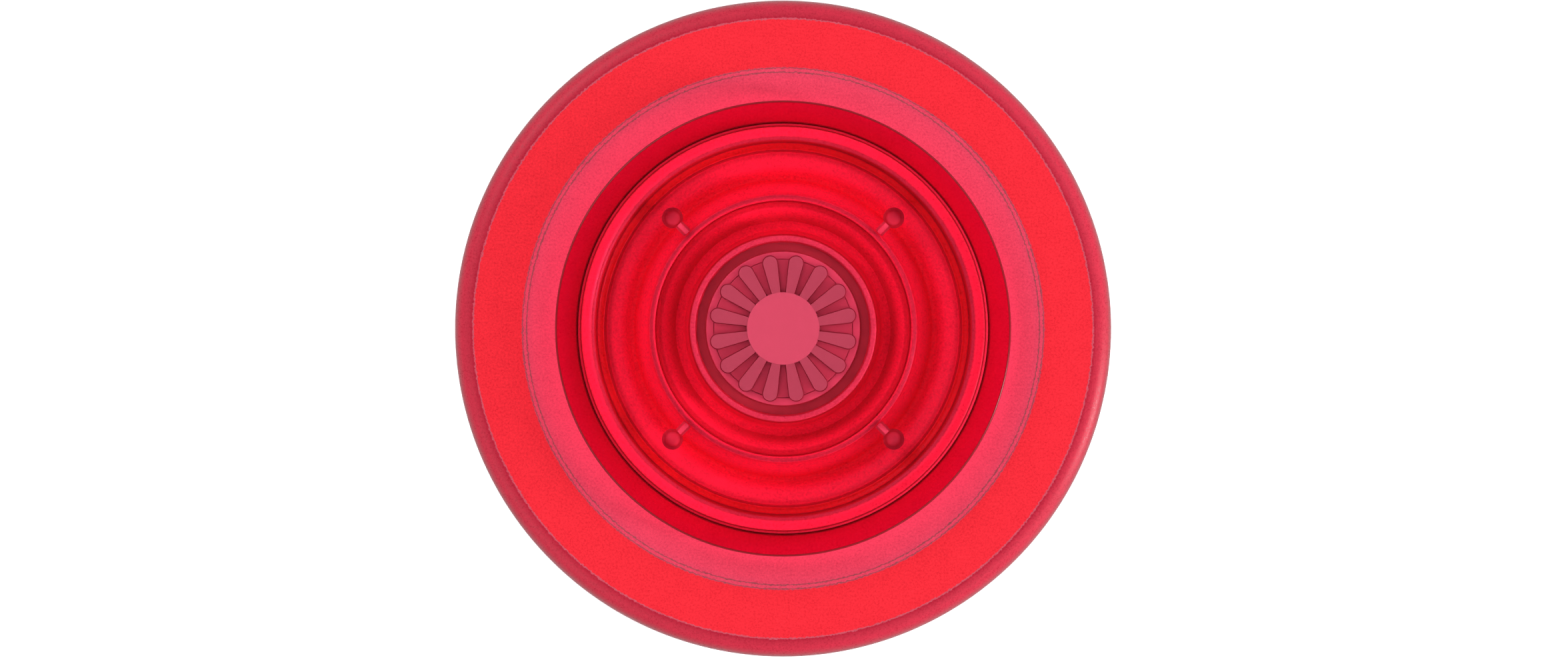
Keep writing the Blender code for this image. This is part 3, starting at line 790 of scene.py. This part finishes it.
def round_the_axis(tree, count, instance):
    """Copies of an instance turned about Z in even steps. Returns realized geometry."""
    points = add_node(tree, "GeometryNodePoints", {"Count": count})
    index = tree.nodes.new("GeometryNodeInputIndex").outputs[0]
    shifted = math_node(tree, "ADD", index, 0.5)
    step = math_node(tree, "DIVIDE", 2 * math.pi, count)
    angle = math_node(tree, "MULTIPLY", shifted, step)
    turn = add_node(tree, "ShaderNodeCombineXYZ", {"Z": angle})
    copies = add_node(
        tree,
        "GeometryNodeInstanceOnPoints",
        {"Points": points.outputs[0], "Instance": instance, "Rotation": turn.outputs[0]},
    )
    return add_node(tree, "GeometryNodeRealizeInstances", {0: copies.outputs[0]}).outputs[0]


def run_tree(name, tree, inputs, base_mesh=None):
    """Runs a tree with its input values and returns the plain mesh that it makes."""
    obj = bpy.data.objects.new(name, base_mesh or bpy.data.meshes.new(name))
    bpy.context.scene.collection.objects.link(obj)
    modifier = obj.modifiers.new(name, "NODES")
    modifier.node_group = tree
    sockets = {item.name: item.identifier for item in tree.interface.items_tree if item.in_out == "INPUT"}
    for label, _, value in inputs:
        modifier[sockets[label]] = value
    mesh = bpy.data.meshes.new_from_object(obj.evaluated_get(bpy.context.evaluated_depsgraph_get()))
    bpy.data.objects.remove(obj, do_unlink=True)
    mesh.name = name
    return mesh


# %% Ring of magnets
INT, LENGTH, ANGLE, MATERIAL = "NodeSocketInt", "NodeSocketFloat", "NodeSocketFloat", "NodeSocketMaterial"
MAGNETS = 16
MAGNET_MARGIN = 0.3 * MM
MAGNET_GAP = 0.25 * MM
magnet_inner = BAND_INNER + MAGNET_MARGIN
magnet_outer = BAND_OUTER - MAGNET_MARGIN
magnet_low, magnet_top = low("magnet_01"), top("magnet_01")
magnet_inputs = [
    ("Count", INT, MAGNETS),
    ("Mean Radius", LENGTH, (magnet_inner + magnet_outer) / 2),
    ("Width", LENGTH, magnet_outer - magnet_inner),
    ("Thickness", LENGTH, magnet_top - magnet_low),
    ("Sweep", ANGLE, 2 * math.pi / MAGNETS - MAGNET_GAP / magnet_inner),
    ("Height", LENGTH, (magnet_low + magnet_top) / 2),
    ("Plating", MATERIAL, NICKEL),
]
tree, given, made = geometry_tree("magnet_ring", magnet_inputs)
half_back = math_node(tree, "MULTIPLY", given["Sweep"], -0.5)
centre_line = add_node(
    tree,
    "GeometryNodeCurveArc",
    {
        "Resolution": 9,
        "Radius": given["Mean Radius"],
        "Start Angle": half_back,
        "Sweep Angle": given["Sweep"],
    },
)
section = add_node(
    tree,
    "GeometryNodeCurvePrimitiveQuadrilateral",
    {"Width": given["Width"], "Height": given["Thickness"]},
)
MAGNET_ROUND = 0.12 * MM
soft_section = add_node(
    tree,
    "GeometryNodeFilletCurve",
    {"Curve": section.outputs[0], "Radius": MAGNET_ROUND, "Count": 3},
    mode="POLY",
)
bar = add_node(
    tree,
    "GeometryNodeCurveToMesh",
    {"Curve": centre_line.outputs[0], "Profile Curve": soft_section.outputs[0], "Fill Caps": True},
)
ring = round_the_axis(tree, given["Count"], bar.outputs[0])
placed = shifted(tree, ring, z=given["Height"])
tree.links.new(finished(tree, placed, given["Plating"]), made)
magnet_mesh = run_tree("magnet_ring", tree, magnet_inputs)


def closed_and_outward(mesh, sharp_angle=40):
    """Merges doubles, points the faces outwards and shades smooth up to an angle."""
    shape = bmesh.new()
    shape.from_mesh(mesh)
    bmesh.ops.remove_doubles(shape, verts=shape.verts, dist=0.001 * MM)
    bmesh.ops.recalc_face_normals(shape, faces=shape.faces)
    shape.to_mesh(mesh)
    shape.free()
    mesh.shade_smooth()
    mesh.set_sharp_from_angle(angle=math.radians(sharp_angle))


closed_and_outward(magnet_mesh)
magnets = piece("magnet_ring", magnet_mesh)
settle(magnets, "base", "nickel_plated_magnet", *[f"magnet_{number:02d}" for number in range(1, MAGNETS + 1)])

# %% [markdown]
# ## The bellows
#
# The bellows is one soft moulding folded into two nested troughs. Its walls keep their shape, and
# the webs between them turn over when a stage is pulled out. So it is made as five pieces whose
# ends meet: the collar rides on the base, the middle fold on the middle body and the sleeve on the
# hub, and the two webs between them are fixed meshes in their folded shape.

# %% Collar and webs
WALL = 0.5 * MM
COLLAR_WIDTH = 1.45 * MM
COLLAR_INNER = COLLAR_RADIUS - COLLAR_WIDTH
FLANGE_LOW = low("accordion_collar")
FLANGE_TOP = FLANGE_LOW + 0.6 * MM
collar_profile = rounded(
    [
        (COLLAR_RADIUS - 0.34 * MM, RIDGE_TOP, 0.2 * MM),
        (COLLAR_RADIUS, BASE_TOP + 0.05 * MM, 0.1 * MM),
        (COLLAR_RADIUS, FLANGE_TOP, CRISP),
        (FLANGE_RADIUS, FLANGE_TOP, 0.1 * MM),
        (FLANGE_RADIUS, FLANGE_LOW, 0.1 * MM),
        (COLLAR_INNER, FLANGE_LOW, 0.1 * MM),
        (COLLAR_INNER, RIDGE_TOP - 0.35 * MM, 0.15 * MM),
        (COLLAR_INNER + 0.5 * MM, RIDGE_TOP - 0.02 * MM, 0.4 * MM),
    ]
)
turned_piece("bellows_collar", collar_profile, SOFT_RED, "base", "soft_red_bellows", "accordion_collar")

FOLD_TOP = RIDGE_TOP
FOLD_FOOT = VALLEY_LOW + WALL


def fold_points(*pairs):
    """Points from (radius in mm, share of the fold's height) pairs."""
    return [(radius * MM, FOLD_FOOT + share * (FOLD_TOP - FOLD_FOOT)) for radius, share in pairs]


outer_web_line = smooth_line(
    fold_points(
        (16.46, 0.96), (16.42, 0.85), (16.36, 0.74), (16.28, 0.62), (16.12, 0.54), (15.86, 0.51),
        (15.64, 0.50), (15.52, 0.44), (15.44, 0.33), (15.22, 0.275), (14.9, 0.24), (14.5, 0.215),
        (14.1, 0.18), (13.8, 0.12), (13.55, 0.045), (13.34, 0.005),
    )
)
outer_web = piece("outer_fold", turned_mesh("outer_fold", wall_profile(outer_web_line, WALL)), SOFT_RED)
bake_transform(outer_web)
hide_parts("outer_fold_web")

inner_web_line = smooth_line(
    fold_points(
        (11.17, 0.985), (11.12, 0.88), (11.05, 0.73), (10.92, 0.61), (10.7, 0.55), (10.4, 0.49), (10.1, 0.40),
        (9.85, 0.30), (9.6, 0.19), (9.4, 0.11), (9.22, 0.06),
    )
)
inner_web = piece("inner_fold", turned_mesh("inner_fold", wall_profile(inner_web_line, WALL)), SOFT_RED)
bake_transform(inner_web)
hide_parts("inner_fold_web")
print("two webs:", len(outer_web.data.polygons), "and", len(inner_web.data.polygons), "faces")

# %% Middle fold and hub sleeve
middle_line = smooth_line(
    fold_points(
        (13.37, 0.008), (13.1, 0.0), (12.9, 0.05), (12.65, 0.18), (12.3, 0.34), (11.95, 0.50), (11.7, 0.66),
        (11.6, 0.82), (11.54, 0.93), (11.44, 0.99), (11.3, 1.0), (11.2, 0.99), (11.14, 0.96),
    )
)
middle_profile = wall_profile(middle_line, WALL)
turned_piece("middle_fold", middle_profile, SOFT_RED, "middle", "soft_red_bellows", "fold_ring")

HUB_BORE = outer_radius("lock_ring") + FIT
HUB_RADIUS = HUB_BORE + 0.4 * MM
HUB_TOP = top("hub_cup")
HUB_FOOT = outer_radius("hub_cup")
LIP_TOP = low("lock_ring") + 0.9 * MM
hub_profile = rounded(
    [
        (HUB_RADIUS, HUB_TOP, 0.15 * MM),
        (HUB_RADIUS + 0.14 * MM, HUB_TOP - 1.7 * MM, 1.0 * MM),
        (HUB_RADIUS + 0.55 * MM, HUB_TOP - 3.1 * MM, 0.9 * MM),
        (HUB_FOOT + 0.3 * MM, VALLEY_LOW + 0.6 * MM, 0.3 * MM),
        (HUB_FOOT + 0.42 * MM, VALLEY_LOW + WALL, CRISP),
        (HUB_FOOT + 0.42 * MM, VALLEY_LOW, CRISP),
        (HUB_RADIUS + 0.3 * MM, VALLEY_LOW, 0.2 * MM),
        (HUB_BORE, LIP_TOP - 0.7 * MM, 0.2 * MM),
        (HUB_BORE - 0.7 * MM, LIP_TOP - 0.7 * MM, 0.1 * MM),
        (HUB_BORE - 0.7 * MM, LIP_TOP, CRISP),
        (HUB_BORE, LIP_TOP, 0.03 * MM),
        (HUB_BORE, LIP_TOP + 1.25 * MM, CRISP),
        (HUB_BORE - 0.2 * MM, LIP_TOP + 1.35 * MM, CRISP),
        (HUB_BORE - 0.05 * MM, HUB_TOP, 0.15 * MM),
    ]
)
# Painted highlight: a paler pink ring along the top of the hub's lip.
LIP_HIGHLIGHT_RING = (HUB_BORE / MM - 0.1, HUB_RADIUS / MM + 0.08, 0.08, (0.56, 0.14, 0.175))
HUB_RED = ringed_plastic("soft_red_hub", SOFT_TONE, LIP_HIGHLIGHT_RING)
turned_piece("hub_sleeve", hub_profile, HUB_RED, "hub", "soft_red_bellows", "hub_cup")

# %% [markdown]
# ## The twist connector
#
# Under the middle of the disc sits the bayonet connector: a plate with a hollow stem and two lugs,
# and on it a rosette of sixteen petals that is bonded to the disc. A petal is the convex hull of
# four circles, two on the plate and two slightly smaller ones at the top, which gives it a round
# tip, a taper and sloping sides. Geometry Nodes build one and turn it sixteen times. Faces that
# point up take the petal's material, and the sloping sides take a dark red: painted shade that
# draws the outline round each petal.

# %% Rosette
PETALS = 16
ROSETTE_TOP = top("twist_connector")
PLATE_TOP = ROSETTE_TOP - 0.4 * MM
PETAL_END = outer_radius("twist_connector")
TIP_ROUND = 0.70 * MM
ROOT_ROUND = 0.40 * MM
PAD_RADIUS = 3.14 * MM
DRAFT = 0.08 * MM
rosette_inputs = [
    ("Petals", INT, PETALS),
    ("Tip Centre", LENGTH, (PETAL_END + 0.08 * MM - TIP_ROUND) / math.cos(math.pi / PETALS)),
    ("Tip Round", LENGTH, TIP_ROUND),
    ("Root Centre", LENGTH, PAD_RADIUS - 0.6 * MM),
    ("Root Round", LENGTH, ROOT_ROUND),
    ("Draft", LENGTH, DRAFT),
    ("Foot", LENGTH, PLATE_TOP - 0.05 * MM),
    ("Top", LENGTH, ROSETTE_TOP),
    ("Face", MATERIAL, PETAL_FROST),
    ("Side", MATERIAL, PETAL_SIDE_SHADE),
]
tree, given, made = geometry_tree("petal_rosette", rosette_inputs)
join = tree.nodes.new("GeometryNodeJoinGeometry")
for centre, size in (("Tip Centre", "Tip Round"), ("Root Centre", "Root Round")):
    for height, shrink in (("Foot", 0.0), ("Top", 1.0)):
        draft = math_node(tree, "MULTIPLY", given["Draft"], shrink)
        circle = add_node(
            tree,
            "GeometryNodeMeshCircle",
            {"Vertices": 40, "Radius": math_node(tree, "SUBTRACT", given[size], draft)},
        )
        moved = shifted(tree, circle.outputs[0], given[centre], given[height])
        tree.links.new(moved, join.inputs[0])
petal = add_node(tree, "GeometryNodeConvexHull", {0: join.outputs[0]})
ring = round_the_axis(tree, given["Petals"], petal.outputs[0])
faced = finished(tree, ring, given["Face"])
normal = tree.nodes.new("GeometryNodeInputNormal")
upward = add_node(tree, "ShaderNodeSeparateXYZ", {0: normal.outputs[0]})
is_side = add_node(tree, "FunctionNodeCompare", {0: upward.outputs["Z"], 1: 0.9}, operation="LESS_THAN")
sided = finished(tree, faced, given["Side"], is_side.outputs[0])
tree.links.new(sided, made)
rosette_mesh = run_tree("petal_rosette", tree, rosette_inputs)
closed_and_outward(rosette_mesh, 25)
rosette = piece("petal_rosette", rosette_mesh)
settle(rosette, "top", "frosted_red_plastic")

# %% Plate and stem
PLATE_RADIUS = PETAL_END - 0.27 * MM
STEM_RADIUS = 3.9 * MM
LOCK_INNER = STEM_RADIUS + 0.1 * MM
plate_low, stem_low = PLATE_TOP - 0.6 * MM, low("twist_connector")
connector_profile = rounded(
    [
        (0.0, PLATE_TOP, 0.0),
        (PLATE_RADIUS, PLATE_TOP, 0.04 * MM),
        (PLATE_RADIUS, plate_low, 0.1 * MM),
        (STEM_RADIUS, plate_low, CRISP),
        (STEM_RADIUS, stem_low, 0.15 * MM),
        (STEM_RADIUS - 1.1 * MM, stem_low, 0.15 * MM),
        (STEM_RADIUS - 1.1 * MM, plate_low, 0.1 * MM),
        (0.0, plate_low, 0.0),
    ],
    closed=False,
)
CONNECTOR_SEGMENTS = 128
coarser = {"closed": False, "segments": CONNECTOR_SEGMENTS}
turned_piece(
    "twist_stem", connector_profile, GAP_RED, "top", "frosted_red_plastic", "twist_connector", **coarser
)

PAD_RISE = 0.03 * MM
pad_profile = rounded(
    [
        (0.0, ROSETTE_TOP + PAD_RISE, 0.0),
        (PAD_RADIUS, ROSETTE_TOP + PAD_RISE, 0.02 * MM),
        (PAD_RADIUS + DRAFT, PLATE_TOP - 0.05 * MM, 0.0),
        (0.0, PLATE_TOP - 0.05 * MM, 0.0),
    ],
    closed=False,
)
turned_piece("bonded_centre_pad", pad_profile, PALE_FROST, "top", "frosted_red_plastic", **coarser)

# %% [markdown]
# ## The top disc and its pegs
#
# The disc is one clear moulding: a flat cylinder with polished radii, and under it four ball-footed
# pegs with a short rib each. Glass shows every face inside it, so the pegs have to be joined to the
# disc, not just stuck into it. The Geometry Nodes tree makes a peg as a convex hull, copies it
# round, and joins all with a Mesh Boolean.

# %% Disc
PEGS = 4
PEG_CIRCLE = 13.6 * MM
PEG_LOW = low("top_disc")
ON_SIDE = (0.0, math.pi / 2, 0.0)
DISC_ROUND = 0.18 * MM
OVERLAP = 0.2 * MM  # how deep pegs and ribs reach into the disc
disc_profile = rounded(
    [
        (0.0, DISC_TOP, 0.0),
        (DISC_RADIUS, DISC_TOP, DISC_ROUND),
        (DISC_RADIUS, DISC_LOW, DISC_ROUND),
        (0.0, DISC_LOW, 0.0),
    ],
    closed=False,
)
disc_inputs = [
    ("Pegs", INT, PEGS),
    ("Peg Circle", LENGTH, PEG_CIRCLE),
    ("Peg Radius", LENGTH, 0.70 * MM),
    ("Peg Root", LENGTH, 0.95 * MM),
    ("Peg Low", LENGTH, PEG_LOW),
    ("Seat", LENGTH, DISC_LOW),
    ("Rib Inner", LENGTH, 11.75 * MM),
    ("Rib Width", LENGTH, 1.1 * MM),
    ("Rib Height", LENGTH, 0.85 * MM),
    ("Plastic", MATERIAL, CLEAR_RED),
    ("Peg Skin", MATERIAL, MATT_PEG),
    ("Edge", MATERIAL, PAINTED_DISC_EDGE),
    ("Edge Radius", LENGTH, DISC_RADIUS - 0.2 * MM),
]
tree, given, made = geometry_tree("disc_with_pegs", disc_inputs)
ball = add_node(
    tree, "GeometryNodeMeshUVSphere", {"Segments": 40, "Rings": 20, "Radius": given["Peg Radius"]}
)
ball_height = math_node(tree, "ADD", given["Peg Low"], given["Peg Radius"])
neck = add_node(tree, "GeometryNodeMeshCircle", {"Vertices": 40, "Radius": given["Peg Root"]})
neck_height = math_node(tree, "ADD", given["Seat"], OVERLAP)
both = tree.nodes.new("GeometryNodeJoinGeometry")
for shape, height in ((ball, ball_height), (neck, neck_height)):
    moved = shifted(tree, shape.outputs[0], given["Peg Circle"], height)
    tree.links.new(moved, both.inputs[0])
peg = add_node(tree, "GeometryNodeConvexHull", {0: both.outputs[0]})
rib_length = math_node(tree, "SUBTRACT", given["Peg Circle"], given["Rib Inner"])
rib_root = math_node(tree, "MULTIPLY", given["Rib Width"], 0.5)
rib_nose = math_node(tree, "MULTIPLY", given["Rib Width"], 0.22)
rib_x = math_node(tree, "ADD", given["Rib Inner"], math_node(tree, "MULTIPLY", rib_length, 0.5))
rib_join = tree.nodes.new("GeometryNodeJoinGeometry")
RIB_BEDDING = 0.45 * MM
depth = math_node(tree, "SUBTRACT", given["Rib Height"], rib_nose)
for sunk, round_size in ((depth, rib_nose), (-OVERLAP - RIB_BEDDING, rib_root)):
    roller = add_node(
        tree, "GeometryNodeMeshCylinder", {"Vertices": 28, "Radius": round_size, "Depth": rib_length}
    )
    rib_z = math_node(tree, "SUBTRACT", given["Seat"], sunk)
    tree.links.new(shifted(tree, roller.outputs[0], rib_x, rib_z, ON_SIDE), rib_join.inputs[0])
rib_moved = add_node(tree, "GeometryNodeConvexHull", {0: rib_join.outputs[0]})
pegs = round_the_axis(tree, given["Pegs"], peg.outputs[0])
ribs = round_the_axis(tree, given["Pegs"], rib_moved.outputs[0])
union = add_node(tree, "GeometryNodeMeshBoolean", operation="UNION", solver="EXACT")
for part in (given["Geometry"], pegs, ribs):
    tree.links.new(part, union.inputs["Mesh 2"])
clear = finished(tree, union.outputs[0], given["Plastic"])
position = tree.nodes.new("GeometryNodeInputPosition").outputs[0]
place = add_node(tree, "ShaderNodeSeparateXYZ", {0: position})
under = add_node(
    tree,
    "FunctionNodeCompare",
    {0: place.outputs["Z"], 1: math_node(tree, "SUBTRACT", given["Seat"], 0.02 * MM)},
    operation="LESS_THAN",
)
skinned = finished(tree, clear, given["Peg Skin"], under.outputs[0])
flat = add_node(tree, "ShaderNodeVectorMath", {0: position, 1: (1, 1, 0)}, operation="MULTIPLY")
reach = add_node(tree, "ShaderNodeVectorMath", {0: flat.outputs[0]}, operation="LENGTH")
outside = add_node(
    tree,
    "FunctionNodeCompare",
    {0: reach.outputs["Value"], 1: given["Edge Radius"]},
    operation="GREATER_THAN",
)
edged = finished(tree, skinned, given["Edge"], outside.outputs[0])
tree.links.new(edged, made)
disc_mesh = run_tree("clear_disc", tree, disc_inputs, turned_mesh("disc_blank", disc_profile, closed=False))
closed_and_outward(disc_mesh, 32)
disc = piece("clear_top_disc", disc_mesh)
settle(disc, "top", "clear_red_plastic", "top_disc")

# %% [markdown]
# ## The lock ring
#
# The lock ring is the bayonet seat in the hub. Its raised rim stands right under the tips of the
# petals and shows as a paler ring with a dark groove round it, so it is turned again here with
# finer corners and two tones. The dark tone, which shows in the groove, is painted shade.

# %% Lock ring
LOCK_OUTER, LOCK_LOW, RIM_TOP = outer_radius("lock_ring"), low("lock_ring"), top("lock_ring")
RIM_INNER, RIM_OUTER = PETAL_END - 0.24 * MM, PETAL_END + 0.42 * MM
GROOVE_FLOOR = RIM_TOP - 0.4 * MM
lock_profile = rounded(
    [
        (RIM_INNER, RIM_TOP, CRISP),
        (RIM_OUTER, RIM_TOP, 0.12 * MM),
        (RIM_OUTER + 0.05 * MM, GROOVE_FLOOR, 0.1 * MM),
        (LOCK_OUTER, GROOVE_FLOOR, CRISP),
        (LOCK_OUTER, LOCK_LOW, CRISP),
        (LOCK_INNER, LOCK_LOW, CRISP),
        (LOCK_INNER, GROOVE_FLOOR, CRISP),
        (RIM_INNER, GROOVE_FLOOR, CRISP),
    ]
)
RIM_RING = (0.0, RIM_OUTER / MM, 0.04, (0.60, 0.28, 0.30))
# Painted shade: the dark base tone shows in the deep groove round the rim.
LOCK_RED = ringed_plastic("lock_ring_red", (0.38, 0.10, 0.095), RIM_RING, depth=0.06, bump=0.003 * MM)
turned_piece("bayonet_ring", lock_profile, LOCK_RED, "hub", "frosted_red_plastic", "lock_ring")

# %% [markdown]
# ## Pieces kept from the frame
#
# The steel yoke and the clamp ring are plain enough that their CAD solids are used as they are.
# They only need their finishes.

# %% Finishes for the kept pieces
for node, finish in (("steel_yoke", ZINC), ("clamp_ring", BACK_RED)):
    for slot in bpy.data.objects[node].material_slots:
        slot.material = finish
    print(node, "takes", finish.name)

# %% [markdown]
# ## Floor, light and camera
#
# The grip lies on its pad on a plain pale floor, which gives off a little light and is left out when
# it is seen from below. Four softboxes look down from the corners, the strongest from the rear left,
# and a white world fills the shadows. Straight above, the world is dark, so that the flat clear disc
# has nothing bright to mirror into a camera that looks straight down. A low strip to the right draws
# the light line along the rim.

# %% Floor
FLOOR_SIZE = 3.0
FLOOR_DROP = 0.05 * MM
floor_mesh = bpy.data.meshes.new("floor")
half = FLOOR_SIZE / 2
corners = [(x * half, y * half, -FLOOR_DROP) for x, y in ((-1, -1), (1, -1), (1, 1), (-1, 1))]
floor_mesh.from_pydata(corners, [], [(0, 1, 2, 3)])
floor_material, floor_tree, floor_shader = new_material("pale_floor")
PALE, GLOW = (0.93, 0.93, 0.93, 1), 0.5
feed(floor_tree, floor_shader, {"Base Color": PALE, "Roughness": 0.9, "Specular IOR Level": 0.1})
feed(floor_tree, floor_shader, {"Emission Color": (1, 1, 1, 1), "Emission Strength": GLOW})
unseen = floor_tree.nodes.new("ShaderNodeBsdfTransparent")
facing = floor_tree.nodes.new("ShaderNodeNewGeometry")
mixed_surface(floor_tree, facing.outputs["Backfacing"], floor_shader, unseen)
floor = piece("floor", floor_mesh, floor_material)


# %% Lights
def softbox(name, location, width, height, power):
    """An area light that faces the grip."""
    data = bpy.data.lights.new(name, "AREA")
    data.shape = "RECTANGLE"
    data.size, data.size_y, data.energy = width, height, power
    lamp = bpy.data.objects.new(name, data)
    bpy.context.scene.collection.objects.link(lamp)
    lamp.location = location
    lamp.rotation_mode = "QUATERNION"
    lamp.rotation_quaternion = (-lamp.location).to_track_quat("-Z", "Y")


SOFTBOX = 0.8
SOFTBOX_HEIGHT = 0.95
for name, x, y, power in (
    ("rear_left_softbox", -0.75, 0.75, 7.2),
    ("rear_right_softbox", 0.8, 0.65, 3.0),
    ("front_left_softbox", -0.8, -0.65, 3.45),
    ("front_right_softbox", 0.75, -0.75, 2.6),
):
    softbox(name, (x, y, SOFTBOX_HEIGHT), SOFTBOX, SOFTBOX, power)
softbox("right_strip", (0.88, -0.26, 0.10), 0.12, 0.9, 12.0)

# %% White world with a dark patch overhead
WORLD_LIGHT = 0.74
DARK_PATCH = 0.03
world = bpy.data.worlds.new("white_studio")
bpy.context.scene.world = world
world.use_nodes = True
sky = world.node_tree
direction = sky.nodes.new("ShaderNodeTexCoord")
upwards = sky.nodes.new("ShaderNodeSeparateXYZ")
sky.links.new(direction.outputs["Generated"], upwards.inputs[0])
patch = sky.nodes.new("ShaderNodeMapRange")
patch.interpolation_type = "SMOOTHSTEP"
PATCH_EDGE = (0.86, 0.97)  # sine of the height above the horizon where the patch begins and is full
patch.inputs["From Min"].default_value, patch.inputs["From Max"].default_value = PATCH_EDGE
patch.inputs["To Min"].default_value, patch.inputs["To Max"].default_value = WORLD_LIGHT, DARK_PATCH
sky.links.new(upwards.outputs["Z"], patch.inputs["Value"])
sky.links.new(patch.outputs[0], sky.nodes["Background"].inputs["Strength"])
sky.nodes["Background"].inputs["Color"].default_value = (1, 1, 1, 1)

# %% Camera
LENS = 200.0
SENSOR = 36.0
VIEW_WIDTH = 0.13694  # metres seen from side to side at the focus height
FOCUS_HEIGHT = 3 * MM
camera_data = bpy.data.cameras.new("camera")
camera_data.lens = LENS
camera_data.sensor_width = SENSOR
camera_data.clip_start, camera_data.clip_end = 0.01, 10.0
camera = bpy.data.objects.new("camera", camera_data)
bpy.context.scene.collection.objects.link(camera)
camera.location = (0.08 * MM, -0.04 * MM, FOCUS_HEIGHT + VIEW_WIDTH * LENS / SENSOR)
bpy.context.scene.camera = camera
bpy.context.scene.view_settings.view_transform = "Standard"
print("camera height", round(camera.location.z, 3))
